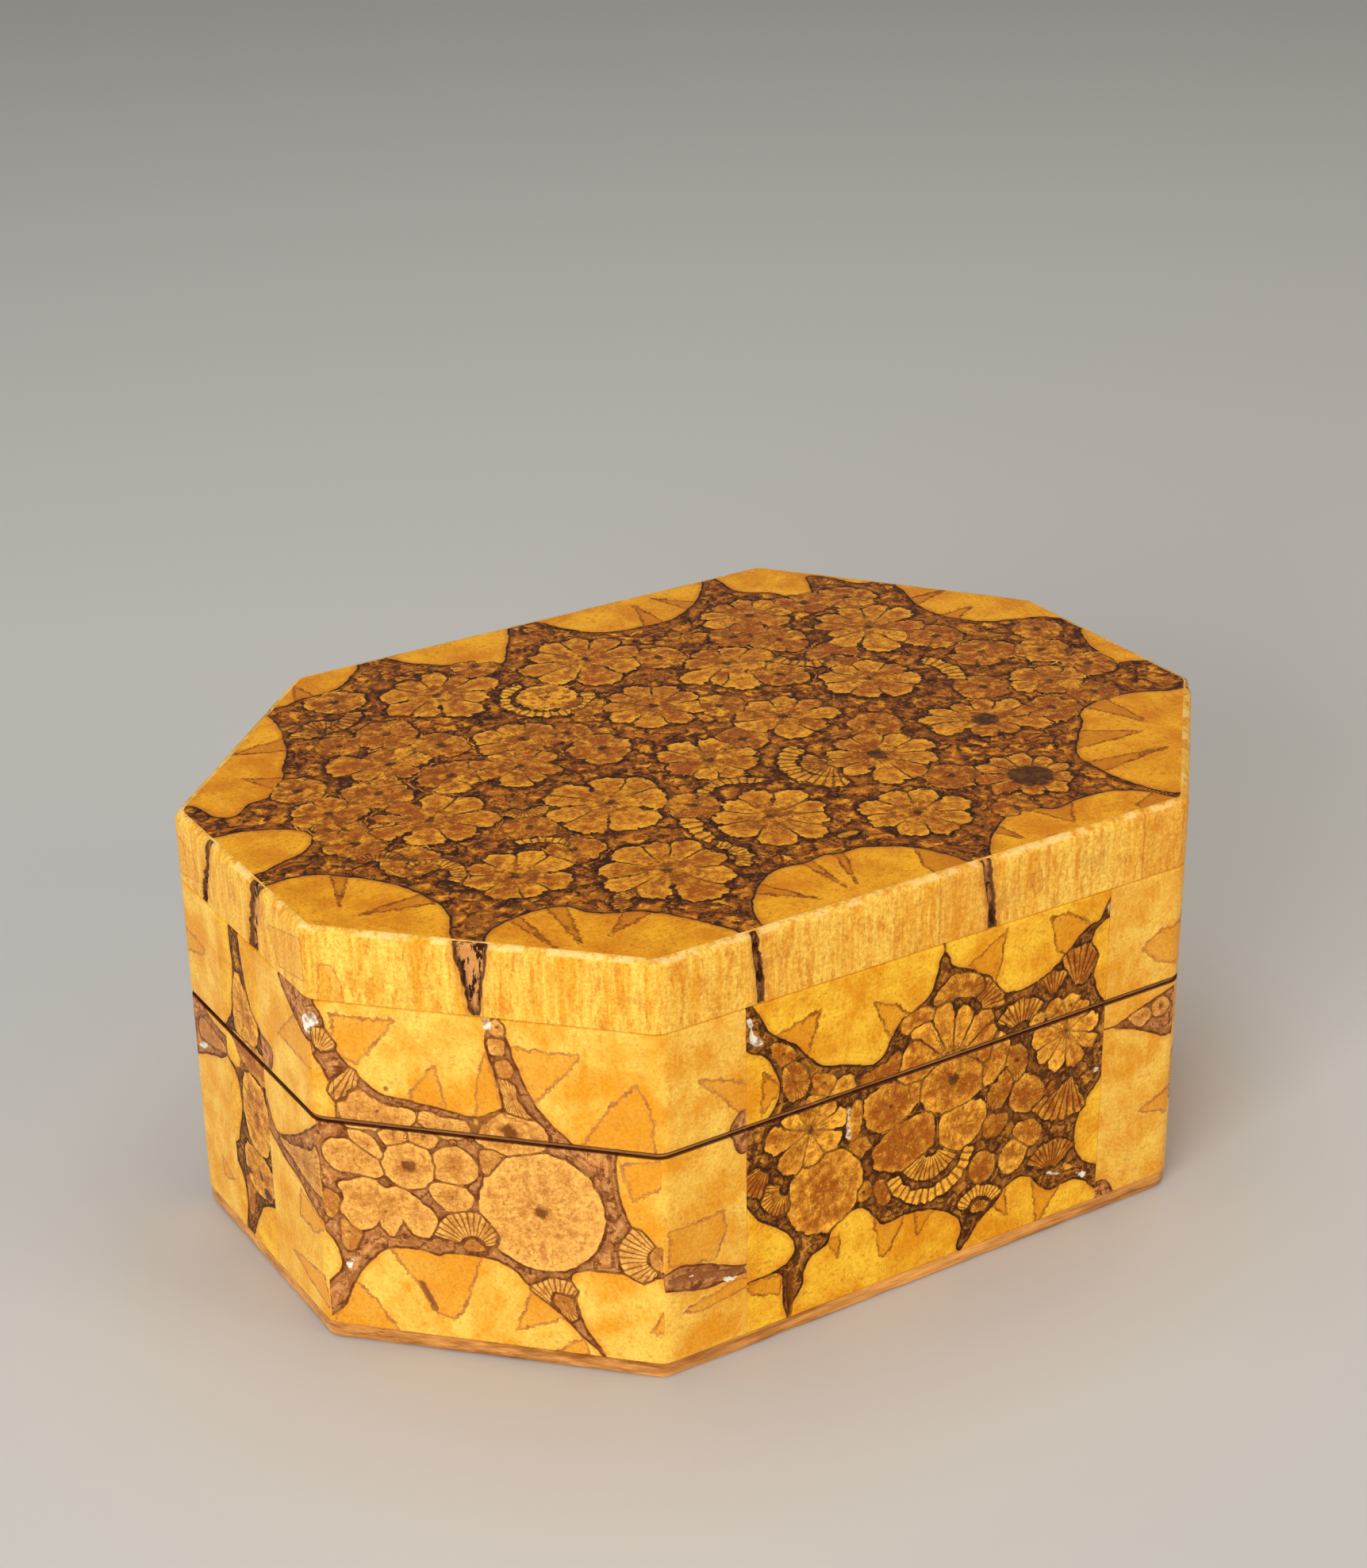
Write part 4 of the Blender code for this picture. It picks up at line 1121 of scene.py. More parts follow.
@dataclass
class Slab:
    """The thick slice of burl that is the lid's top, on a grid of rows across the box."""

    figure: Figure
    face: bpy.types.Material
    edge: bpy.types.Material
    under: bpy.types.Material
    TOP = 51.5
    FOOT = 43.05
    ROUNDING = 1.0
    COLUMNS = 292
    ROWS = 206
    SIDE_ROWS = 20

    def rim_walks(self) -> list[Points]:
        """The walked lengths of the grid's front, right, back and left edges, in that order round the box.

        The rows lie evenly in depth, closer together beside the front and back sides where the corners' arcs
        run almost level.

        Returns:
            Four rows of walked lengths.
        """
        ends = np.arange(0, 46, 9.0)
        close = (CORNER_RADIUS - self.ROUNDING) * (1 - np.cos(np.radians(ends[:-1])))
        limit = CORNERS[2:, 1].max() - self.ROUNDING
        middle = np.linspace(close[-1] + 0.3 - limit, limit - close[-1] - 0.3, self.ROWS)
        depths = np.concatenate([close - limit, middle, limit - close[::-1]])
        walk = np.linspace(0, OUTLINE.starts[-1], 12000)
        place, outward = OUTLINE.at(walk)
        inset = place - outward * self.ROUNDING
        right = (walk > OUTLINE.starts[1] - 4) & (walk < OUTLINE.starts[4] + 4) & (np.abs(inset[:,
                1]) < limit - 1e-6)
        left = (walk > OUTLINE.starts[5] - 4) & (np.abs(inset[:, 1]) < limit - 1e-6)
        right_walk = np.interp(depths, inset[right, 1], walk[right])
        left_walk = np.interp(depths, -inset[left, 1], walk[left])
        start = left_walk[-1] - OUTLINE.starts[-1]
        return [np.linspace(start, right_walk[0], self.COLUMNS), right_walk,
                np.linspace(right_walk[-1], left_walk[0], self.COLUMNS), left_walk]

    def build(self) -> bpy.types.Object:
        """Builds the slab.

        Each row of the top runs straight between the left and the right edge. The rounded edge and the side
        rows follow the grid's rim down, and one face closes the underside.

        Returns:
            The finished piece.
        """
        front, right, back, left = self.rim_walks()
        rows = len(right)
        inset = {key: self.inset(walk) for key, walk in (("right", right), ("left", left[::-1]))}
        share = np.linspace(0, 1, self.COLUMNS)[None, :, None]
        grid = inset["left"][:, None] * (1 - share) + inset["right"][:, None] * share
        numbers = np.arange(rows * self.COLUMNS).reshape(rows, self.COLUMNS)
        rim = np.concatenate([numbers[0, :-1], numbers[:-1, -1], numbers[-1, :0:-1], numbers[:0:-1, 0]])
        walk = np.concatenate([front[:-1], right[:-1], back[:-1], left[:-1]])
        turns = np.radians(np.linspace(90, 0, 6)[1:])
        heights = np.concatenate([self.TOP - self.ROUNDING * (1 - np.sin(turns)),
                                  np.linspace(self.TOP - self.ROUNDING, self.FOOT + 0.15, self.SIDE_ROWS)[1:],
                                  [self.FOOT]])
        insets = np.concatenate([self.ROUNDING * (1 - np.cos(turns)), np.zeros(self.SIDE_ROWS - 1), [0.12]])
        place, outward = OUTLINE.at(walk)
        top_at = grid.reshape(-1, 2)
        fall = (self.TOP - heights)[:, None]
        side_at = np.stack(np.broadcast_arrays(walk[None], heights[:, None]), 2).reshape(-1, 2)
        reading = Reading(len(top_at) + len(side_at))
        reading.read(self.figure, top_at, np.arange(len(top_at)))
        reading.read(self.edge_figure(walk, place - outward), side_at,
                     np.arange(len(top_at), len(reading.near)))
        sink = relief_of(reading)
        crevice = np.clip(reading.crack[len(top_at):] / 0.5, 0, 1).reshape(len(heights), -1)
        sink_side = sink[len(top_at):].reshape(len(heights), -1) * np.clip(fall, 0,
                1) + 0.3 * crevice * np.clip(fall / 1.5, 0, 1)
        side = place[None] - outward[None] * (insets[:, None] + sink_side)[:, :, None]
        top = np.column_stack([top_at, self.TOP - sink[:len(top_at)]])
        wall = np.concatenate([side, np.broadcast_to(heights[:, None, None], (*side.shape[:2], 1))],
                              2).reshape(-1, 3)
        polygons, finishes = self.weave(numbers, rim, len(heights))
        piece = add_mesh("lid_top_wood", np.concatenate([top, wall]), polygons,
                         [self.face, self.edge, self.under],
                         finishes, reading.attributes())
        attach(piece, "root")
        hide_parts("lid_top")
        return piece

    def edge_figure(self, walk: Points, place: Points) -> Figure:
        """The drawn figure of the edge, with the top's gaps carried down the sides where none is drawn.

        Args:
            walk: the walked lengths of the rim's points.
            place: where those points lie on the top.

        Returns:
            The figure, with a crevice that narrows downwards for each gap of the hidden sides.
        """
        drawn = edge_face()
        rim = Reading(len(walk))
        rim.read(self.figure, place, np.arange(len(walk)))
        hidden = (walk > OUTLINE.starts[1] + 2) & (walk < OUTLINE.starts[6] - 1)
        ends = np.flatnonzero(np.diff(((rim.near < 0) & hidden).astype(int)))
        for first, last in walk[ends[:len(ends) // 2 * 2]].reshape(-1, 2):
            middle, half = (first + last) / 2 + 0.8 * math.sin(first), (last - first) * 0.3
            drawn.cracks.append(np.array([(first, 54), (last, 54), (middle + half, 43), (middle - half, 43)]))
        return drawn

    def inset(self, walk: Points) -> Points:
        """The places just inside the outline where the edge's rounding begins."""
        place, outward = OUTLINE.at(walk)
        return place - outward * self.ROUNDING

    @staticmethod
    def weave(numbers: Points, rim: Points, levels: int) -> tuple[list[list[int]], list[int]]:
        """The faces of the top's grid, of the rows around its rim and of the underside.

        Args:
            numbers: the grid's point numbers.
            rim: the numbers of its outermost points, in order round the box.
            levels: how many rows of points follow the rim down.

        Returns:
            The faces and their material numbers.
        """
        top = np.stack([numbers[:-1, :-1], numbers[:-1, 1:], numbers[1:, 1:], numbers[1:, :-1]],
                       2).reshape(-1, 4)
        rings = np.vstack([rim, numbers.size + np.arange(levels * len(rim)).reshape(levels, -1)])
        after = np.roll(rings, -1, 1)
        wall = np.stack([rings[1:], after[1:], after[:-1], rings[:-1]], 2).reshape(-1, 4)
        polygons = top.tolist() + wall.tolist() + [rings[-1][::-1].tolist()]
        return polygons, [0] * len(top) + [1] * len(wall) + [2]


@dataclass
class Board:
    """The thin board under the box."""

    finish: bpy.types.Material
    THICKNESS = 1.9
    ROUNDING = 0.5

    def build(self) -> bpy.types.Object:
        """Builds the board as rings round its outline, with one face above and one below.

        Its lower edge is worn in by two waves multiplied together along the walk.

        Returns:
            The finished piece.
        """
        walk = np.linspace(0, OUTLINE.starts[-1], 900)[:-1]
        place, outward = OUTLINE.at(walk)
        turns = np.radians([0, 30, 60, 90])
        inset = np.concatenate([self.ROUNDING * (1 - np.sin(turns)), [0.0, 0.0, 0.08]])
        height = np.concatenate([self.ROUNDING * (1 - np.cos(turns)),
                                 [1.1, self.THICKNESS - 0.08, self.THICKNESS]])
        wear = 0.12 * np.sin(walk * 0.7) * np.sin(walk * 0.23 + 1)
        wear_and_highlight = inset[:, None] + np.clip(wear, 0, 1)[None] * np.clip(1 - height[:, None], 0, 1) + 0.15
        ring = place[None] - outward[None] * wear_and_highlight[:, :, None]
        places = np.concatenate([ring, np.broadcast_to(height[:, None, None], (*ring.shape[:2], 1))],
                                2).reshape(-1, 3)
        rows = np.arange(len(height) * len(walk)).reshape(len(height), -1)
        after = np.roll(rows, -1, 1)
        wall = np.stack([rows[:-1], after[:-1], after[1:], rows[1:]], 2).reshape(-1, 4)
        polygons = wall.tolist() + [rows[0][::-1].tolist(), rows[-1].tolist()]
        piece = add_mesh("bottom_board_wood", places, polygons, [self.finish], [0] * len(polygons), {})
        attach(piece, "root")
        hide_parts("bottom_board")
        return piece


Source = bpy.types.NodeSocket | float | tuple[float, ...]
Colour = tuple[float, float, float]


def linear(red: int, green: int, blue: int) -> tuple[float, float, float, float]:
    """A screen colour of 0 to 255 as the linear colour a shader reads."""
    parts = [part / 255 for part in (red, green, blue)]
    return (*(part / 12.92 if part <= 0.04045 else ((part + 0.055) / 1.055)**2.4 for part in parts), 1.0)


class Graph:
    """Builds a node tree, with a short method for each kind of step."""

    def __init__(self, tree: bpy.types.NodeTree) -> None:
        """Starts on an empty tree."""
        self.tree = tree

    def node(self, kind: str, feeds: dict[str | int, Source] | None = None,
             **settings: object) -> bpy.types.Node:
        """Adds a node.

        Args:
            kind: the node's type name after ShaderNode.
            feeds: a link or a plain value for each named or numbered input.
            settings: the node's own properties.

        Returns:
            The new node.
        """
        made = self.tree.nodes.new(f"ShaderNode{kind}")
        for key, setting in settings.items():
            setattr(made, key, setting)
        for key, source in (feeds or {}).items():
            if isinstance(source, bpy.types.NodeSocket):
                self.tree.links.new(source, made.inputs[key])
            else:
                made.inputs[key].default_value = source
        return made

    def math(self, operation: str, *sources: Source, clamp: bool = False) -> bpy.types.NodeSocket:
        """One step of arithmetic."""
        return self.node("Math", dict(enumerate(sources)), operation=operation, use_clamp=clamp).outputs[0]

    def times(self, first: Source, second: Source, clamp: bool = False) -> bpy.types.NodeSocket:
        """One number times another."""
        return self.math("MULTIPLY", first, second, clamp=clamp)

    def plus(self, first: Source, second: Source, clamp: bool = False) -> bpy.types.NodeSocket:
        """The sum of two numbers."""
        return self.math("ADD", first, second, clamp=clamp)

    def minus(self, first: Source, second: Source) -> bpy.types.NodeSocket:
        """One number less another."""
        return self.math("SUBTRACT", first, second)

    def vector(self, operation: str, *sources: Source, out: int = 0) -> bpy.types.NodeSocket:
        """One step of vector arithmetic."""
        return self.node("VectorMath", dict(enumerate(sources)), operation=operation).outputs[out]

    def parts(self, vector: bpy.types.NodeSocket) -> list[bpy.types.NodeSocket]:
        """The three numbers of a vector."""
        return list(self.node("SeparateXYZ", {0: vector}).outputs)

    def step(self, value: Source, low: float, high: float) -> bpy.types.NodeSocket:
        """A smooth step.

        Args:
            value: what is stepped.
            low: where the step is 0.
            high: where it is 1, above low or below it.

        Returns:
            A number from 0 to 1.
        """
        falls = high < low
        feeds: dict[str | int, Source] = {"Value": value, "From Min": min(low, high),
                                          "From Max": max(low, high),
                                          "To Min": float(falls), "To Max": float(not falls)}
        return self.node("MapRange", feeds, interpolation_type="SMOOTHSTEP").outputs[0]

    def mix(self, share: Source, low: Source, high: Source) -> bpy.types.NodeSocket:
        """A blend of two colours."""
        return self.node("Mix", {0: share, 6: low, 7: high}, data_type="RGBA").outputs[2]

    def cover(self, under: Source, colour: Source, mask: Source, strength: Source) -> bpy.types.NodeSocket:
        """A colour laid over another where the mask is 1, as strongly as given."""
        return self.mix(self.times(mask, strength), under, colour)

    def scaled(self, vector: Source, amount: Source) -> bpy.types.NodeSocket:
        """A vector or colour times a number."""
        return self.node("VectorMath", {0: vector, 3: amount}, operation="SCALE").outputs[0]

    def noise(self, place: Source, scale: float, detail: float = 2.0, roughness: float = 0.5,
              distortion: float = 0.0) -> bpy.types.NodeSocket:
        """Soft noise from 0 to 1."""
        feeds: dict[str | int, Source] = {"Vector": place, "Scale": scale, "Detail": detail,
                                          "Roughness": roughness,
                                          "Distortion": distortion}
        return self.node("TexNoise", feeds).outputs[0]

    def patches(self, place: Source, scale: float, low: float, high: float, detail: float = 2.0,
                roughness: float = 0.5) -> bpy.types.NodeSocket:
        """A mask of soft noise, with a smooth step from 0 at low to 1 at high."""
        return self.step(self.noise(place, scale, detail, roughness), low, high)

    def signed_noise(self, place: Source, scale: float, size: float,
                     detail: float = 2.0) -> bpy.types.NodeSocket:
        """Noise about nought, of the given size."""
        return self.times(self.minus(self.noise(place, scale, detail), 0.5), size)

    def cells(self, place: Source, scale: float, feature: str = "F1",
              jitter: float = 1.0) -> bpy.types.NodeSocket:
        """The distance a Voronoi pattern gives."""
        return self.node("TexVoronoi", {"Vector": place, "Scale": scale, "Randomness": jitter},
                         feature=feature).outputs["Distance"]


@dataclass(frozen=True)
class Tones:
    """The colours of one kind of burl: bark between the forms, petals, sapwood and what lines them."""

    outline: tuple[float, ...]
    bark: tuple[float, ...]
    bark_light: tuple[float, ...]
    petal_dark: tuple[float, ...]
    petal: tuple[float, ...]
    sapwood: tuple[float, ...]
    sapwood_pale: tuple[float, ...]
    wedge: tuple[float, ...]


KEPT = ("gap", "spoke", "kind", "flaw")
# Fine grain darkens wood towards brown and lightens it towards yellow
GRAIN_LOW = (0.84, 0.68, 0.5, 1.0)
GRAIN_HIGH = (1.16, 1.28, 1.3, 1.0)


def figure_group() -> bpy.types.ShaderNodeTree:
    """The burl's figure as a node group.

    The distance to the nearest form, roughened with noise, parts wood from bark. Bark is banded along the
    forms and broken into small cells and dark veins. Petals carry fine rays that turn about their heart, a
    paler rim and a dark line round them. Sapwood lobes are pale with orange wedges, pores and flecks. Fine
    grain runs over all of it. Cracks are dark, chips are the grey-white of filler, and the split between base
    and lid is lined with painted shade, a deep brown band that stands in for the shadow in the gap. Islands,
    Veins, Wander and Merge say how much the bark breaks into cells, how dark it is veined, how far edges
    stray, and how much petals run into each other.

    Returns:
        The group, which puts out a colour, a height and a roughness.
    """
    tree = bpy.data.node_groups.new("Burl figure", "ShaderNodeTree")
    tree.interface.new_socket("Place", in_out="INPUT", socket_type="NodeSocketVector")
    for name in KEPT:
        tree.interface.new_socket(name, in_out="INPUT", socket_type="NodeSocketVector")
    for name in Tones.__dataclass_fields__:
        tree.interface.new_socket(name, in_out="INPUT", socket_type="NodeSocketColor")
    for name in ("Islands", "Veins", "Wander", "Merge"):
        tree.interface.new_socket(name, in_out="INPUT", socket_type="NodeSocketFloat")
    for name, kind in (("Colour", "NodeSocketColor"), ("Height", "NodeSocketFloat"),
                       ("Roughness", "NodeSocketFloat")):
        tree.interface.new_socket(name, in_out="OUTPUT", socket_type=kind)
    graph = Graph(tree)
    given = tree.nodes.new("NodeGroupInput").outputs
    place = given["Place"]
    near, ridge, second = graph.parts(given["gap"])
    turn_x, turn_y, seed = graph.parts(given["spoke"])
    gold, comb, pith = graph.parts(given["kind"])
    crack_gap, chip_gap, wedge_gap = graph.parts(given["flaw"])
    outline = given["outline"]

    is_lobe = graph.step(gold, 0.68, 0.78)
    frill = graph.times(graph.signed_noise(place, 0.42, 1.0, 3), given["Wander"])
    frill = graph.times(frill, graph.minus(1.0, graph.times(is_lobe, 0.5)))
    aim = graph.node("CombineXYZ", {0: turn_x, 1: turn_y, 2: 0.0}).outputs[0]
    reach = graph.vector("LENGTH", aim, out=1)
    melt = graph.times(graph.times(graph.step(reach, 4.0, 2.0), given["Merge"]),
                      graph.minus(1.0, comb))
    fine = graph.plus(0.34, graph.times(given["Merge"], graph.minus(1.5, graph.times(is_lobe, 1.5))))
    fine = graph.times(graph.signed_noise(place, 0.95, 1.0, 4), fine)
    edge = graph.plus(near, graph.plus(frill, fine))
    edge = graph.plus(edge, graph.times(melt, 0.7))
    outside = graph.times(edge, -1.0)
    wood = graph.step(edge, -0.06, 0.07)

    # Bark: bands along the forms' edges, small cells and dark strokes
    drift = graph.node("TexNoise", {"Vector": place, "Scale": 0.6, "Detail": 4.0}).outputs[1]
    bent = graph.vector("ADD", place, graph.scaled(drift, 3.4))
    away = graph.step(outside, 0.2, 0.7)
    band = graph.math("SINE", graph.plus(graph.times(outside, 7.0), graph.signed_noise(place, 0.6, 11.0, 4)))
    bark = graph.cover(given["bark"], given["bark_light"], graph.step(band, -0.5, 0.9), 0.6)
    islands = graph.cells(bent, 0.36, "DISTANCE_TO_EDGE")
    island_tone = graph.mix(graph.patches(bent, 0.9, 0.36, 0.66, 4, 0.65), given["petal_dark"],
                            given["petal"])
    inside = graph.times(graph.step(islands, 0.12, 0.26), graph.times(away, given["Islands"]))
    bark = graph.mix(inside, bark, island_tone)
    shore = graph.times(graph.step(islands, 0.16, 0.04), graph.patches(place, 0.5, 0.34, 0.6, 3))
    bark = graph.cover(bark, outline, shore, graph.times(given["Islands"], 0.9))
    patch = graph.patches(place, 0.3, 0.44, 0.66, 4, 0.6)
    bark = graph.cover(bark, given["bark_light"], patch, 0.45)
    strokes = graph.plus(graph.noise(bent, 0.95, 5, 0.68), graph.times(given["Veins"], 0.13))
    bark = graph.cover(bark, outline, graph.step(strokes, 0.55, 0.67), 0.85)
    bright = graph.patches(graph.vector("ADD", bent, (7.0, 3.0, 5.0)), 1.7, 0.57, 0.68, 4, 0.62)
    bark = graph.cover(bark, given["bark_light"], bright, 0.7)
    grain = graph.patches(place, 2.7, 0.3, 0.7, 5, 0.75)

    # Petals: rays about the heart, a paler rim and a darker middle
    way = graph.vector("NORMALIZE", aim)
    turned = graph.vector("ADD", way, graph.node("CombineXYZ", {0: 0.0, 1: 0.0, 2: seed}).outputs[0])
    rays = graph.noise(graph.vector("ADD", turned, graph.scaled(place, 0.06)), 6.5, 4, 0.7)
    tint = graph.noise(graph.node("CombineXYZ", {0: seed, 1: 0.3, 2: 0.7}).outputs[0], 1.7, 0)
    warmth = graph.plus(gold, graph.times(graph.minus(rays, 0.5), 1.3))
    warmth = graph.plus(warmth, graph.times(graph.minus(tint, 0.5), 1.1))
    warmth = graph.plus(warmth, graph.times(graph.step(edge, 1.7, 0.4), 0.26))
    dim = graph.minus(graph.times(given["Merge"], 0.15), 0.22)
    warmth = graph.plus(warmth, graph.times(graph.step(reach, 2.6, 0.4), dim))
    warmth = graph.plus(warmth, graph.signed_noise(place, 0.7, 2.4, 4), clamp=True)
    petal = graph.mix(warmth, given["petal_dark"], given["petal"])
    inner = graph.step(edge, 0.25, 0.9)
    mottle = graph.patches(place, 1.5, 0.48, 0.64, 5, 0.72)
    petal = graph.cover(petal, given["petal_dark"], mottle, graph.times(inner, 0.75))
    specks = graph.patches(place, 2.9, 0.57, 0.68, 4, 0.75)
    petal = graph.cover(petal, outline, specks, graph.times(inner, 0.6))
    brown = graph.times(graph.patches(place, 0.75, 0.46, 0.56, 5, 0.7), graph.step(reach, 6.4, 2.0))
    petal = graph.cover(petal, given["bark"], brown, graph.times(given["Merge"], 0.8))
    glint = graph.patches(graph.vector("ADD", place, (3.0, 9.0, 1.0)), 1.9, 0.55, 0.68, 4, 0.72)
    petal = graph.cover(petal, given["sapwood_pale"], glint, 0.5)
    heart = graph.minus(graph.plus(reach, graph.signed_noise(place, 1.3, 1.6, 3)), pith)
    petal = graph.cover(petal, outline, graph.step(heart, 0.3, -0.15), 0.8)
    streaks = graph.times(graph.step(rays, 0.4, 0.28), graph.step(reach, 4.6, 1.0))
    petal = graph.cover(petal, outline, streaks, 0.7)
    angle = graph.math("ARCTAN2", turn_y, turn_x)
    ribs = graph.math("SINE", graph.plus(graph.times(angle, 34.0), graph.signed_noise(place, 1.2, 2.5)))
    ribbed = graph.times(graph.step(ribs, 0.15, 0.85), comb)
    petal = graph.cover(petal, outline, ribbed, 0.7)

    # Sapwood: pale lobes with faint rays, pores and orange wedges
    flow = graph.noise(graph.vector("ADD", graph.scaled(way, 2.4), graph.scaled(place, 0.07)), 5.0, 4, 0.65)
    pale = graph.plus(graph.times(graph.noise(place, 0.2, 4, 0.6), 1.3), graph.times(flow, 0.4))
    sapwood = graph.mix(graph.step(pale, 0.6, 1.1), given["sapwood"], given["sapwood_pale"])
    jag = graph.plus(graph.signed_noise(place, 0.8, 1.0, 2), graph.signed_noise(place, 2.6, 0.75, 2))
    split = graph.plus(wedge_gap, jag)
    wedge = graph.mix(graph.noise(place, 0.6, 4), given["wedge"], given["sapwood"])
    sapwood = graph.cover(sapwood, wedge, graph.step(split, -0.08, 0.1), 0.7)
    lined = graph.times(graph.step(graph.math("ABSOLUTE", split), 0.27, 0.07), graph.noise(place, 0.6, 2))
    sapwood = graph.mix(graph.times(lined, 1.6, clamp=True), sapwood, given["bark"])
    sapwood = graph.cover(sapwood, given["wedge"], graph.step(edge, 0.8, 0.15), 0.4)
    pores = graph.times(graph.step(graph.cells(place, 1.1), 0.2, 0.06),
                        graph.patches(place, 0.35, 0.42, 0.6, 2))
    sapwood = graph.cover(sapwood, given["petal_dark"], pores, 0.5)
    fleck = graph.patches(place, 1.3, 0.52, 0.66, 5, 0.72)
    sapwood = graph.cover(sapwood, given["wedge"], fleck, 0.5)
    stain = graph.patches(place, 0.8, 0.56, 0.7, 5, 0.7)
    sapwood = graph.cover(sapwood, given["petal_dark"], stain, 0.5)

    colour = graph.mix(wood, bark, graph.mix(is_lobe, petal, sapwood))
    soft = graph.times(is_lobe, 0.4)
    grained = graph.plus(graph.times(grain, graph.minus(1.0, soft)),
                         graph.times(soft, 0.5))
    colour = graph.vector("MULTIPLY", colour, graph.mix(grained, GRAIN_LOW, GRAIN_HIGH))
    # Dark lines round the forms and between those that touch
    thick = graph.times(given["Merge"], graph.minus(0.6, graph.times(is_lobe, 0.7)))
    wide = graph.math("DIVIDE", edge, graph.plus(1.0, thick))
    rim = graph.times(graph.step(wide, -0.46, -0.14), graph.step(edge, 0.14, 0.0))
    halo = graph.times(graph.step(edge, -1.1, -0.2), graph.step(edge, 0.12, 0.0))
    parting = graph.math("ABSOLUTE", graph.plus(ridge, graph.signed_noise(place, 1.4, 0.4)))
    touching = graph.times(graph.step(parting, 0.2, 0.07), graph.step(second, -0.7, -0.4))
    lines = graph.math("MAXIMUM", graph.math("MAXIMUM", rim, graph.times(halo, 0.4)), touching)
    lines = graph.times(lines, graph.plus(0.15, graph.times(graph.noise(place, 0.7, 4), 1.45)), clamp=True)
    lines = graph.times(lines, graph.minus(1.0, graph.times(melt, 0.85)))
    colour = graph.cover(colour, outline, lines, 0.95)
    crack = graph.step(graph.plus(crack_gap, graph.signed_noise(place, 1.6, 0.6)), -0.1, 0.12)
    colour = graph.cover(colour, graph.mix(graph.noise(place, 1.6, 3), outline, given["bark"]), crack, 0.85)
    # Painted shade: within half a millimetre of the split between base and lid the colour turns deep brown,
    # standing in for the shadow in the gap
    _, _, rise = graph.parts(place)
    split_shade = graph.step(graph.math("ABSOLUTE", graph.minus(rise, SPLIT)), 0.5, 0.3)
    colour = graph.cover(colour, linear(60, 12, 0), split_shade, 0.96)
    chip = graph.step(graph.plus(chip_gap, graph.signed_noise(place, 0.9, 1.3, 4)), -0.04, 0.08)
    filler = graph.mix(graph.patches(place, 1.4, 0.36, 0.6, 4), linear(160, 122, 80), linear(246, 240, 220))
    colour = graph.cover(colour, filler, chip, 0.9)

    result = tree.nodes.new("NodeGroupOutput").inputs
    height = graph.minus(wood, graph.times(graph.math("MAXIMUM", lines, crack), 0.9))
    height = graph.plus(height, graph.times(grain, 0.35))
    rough = graph.plus(0.36, graph.times(graph.minus(1.0, wood), 0.25))
    for name, source in (("Colour", colour), ("Height", height), ("Roughness", rough)):
        tree.links.new(source, result[name])
    return tree


def grain_group() -> bpy.types.ShaderNodeTree:
    """Plain wood grain as a node group.

    Noise drawn out along the grain gives the fine fibres, a broader noise the slow drift in tone, and sharp
    short streaks the pores.

    Returns:
        The group, which puts out a mask of tone, a mask of pores and a height.
    """
    tree = bpy.data.node_groups.new("Wood grain", "ShaderNodeTree")
    tree.interface.new_socket("Place", in_out="INPUT", socket_type="NodeSocketVector")
    for name in ("Tone", "Pores", "Height"):
        tree.interface.new_socket(name, in_out="OUTPUT", socket_type="NodeSocketFloat")
    graph = Graph(tree)
    place = tree.nodes.new("NodeGroupInput").outputs["Place"]
    fibres, drift = graph.noise(place, 1.0, 4, 0.65), graph.noise(place, 0.22, 2)
    tone = graph.plus(graph.times(fibres, 0.6), graph.times(drift, 0.5), clamp=True)
    pores = graph.patches(place, 2.6, 0.6, 0.72, 2, 0.5)
    height = graph.minus(fibres, graph.times(pores, 0.6))
    result = tree.nodes.new("NodeGroupOutput").inputs
    for name, source in (("Tone", tone), ("Pores", pores), ("Height", height)):
        tree.links.new(source, result[name])
    return tree


@dataclass(frozen=True)
class Lacquer:
    """The clear coat over the wood."""

    coat: float = 0.6
    coat_roughness: float = 0.1
    coat_ior: float = 1.35
    specular: float = 0.1
    bump: float = 0.25

    def finish(self, graph: Graph, colour: Source, roughness: Source, height: Source) -> None:
        """Ends a material's tree: wood under lacquer, with its relief as a bump.

        Args:
            graph: the material's tree.
            colour: the wood's colour.
            roughness: the wood's roughness under the coat.
            height: its relief.
        """
        bump = graph.node("Bump", {"Strength": self.bump, "Distance": 0.1 * MM, "Height": height})
        shader = graph.node("BsdfPrincipled", {"Base Color": colour, "Roughness": roughness,
                                               "Normal": bump.outputs[0],
                                               "Coat Weight": self.coat,
                                               "Coat Roughness": self.coat_roughness,
                                               "Coat IOR": self.coat_ior,
                                               "Specular IOR Level": self.specular})
        ends = graph.tree.nodes.new("ShaderNodeOutputMaterial")
        graph.tree.links.new(shader.outputs[0], ends.inputs[0])


def new_material(name: str) -> tuple[bpy.types.Material, Graph, bpy.types.NodeSocket]:
    """Starts a material.

    Args:
        name: its name.

    Returns:
        The empty material, its tree, and the place on the object in millimetres.
    """
    material = bpy.data.materials.new(name)
    material.use_nodes = True
    material.node_tree.nodes.clear()
    graph = Graph(material.node_tree)
    spot = graph.node("TexCoord").outputs["Object"]
    return material, graph, graph.scaled(spot, 1 / MM)


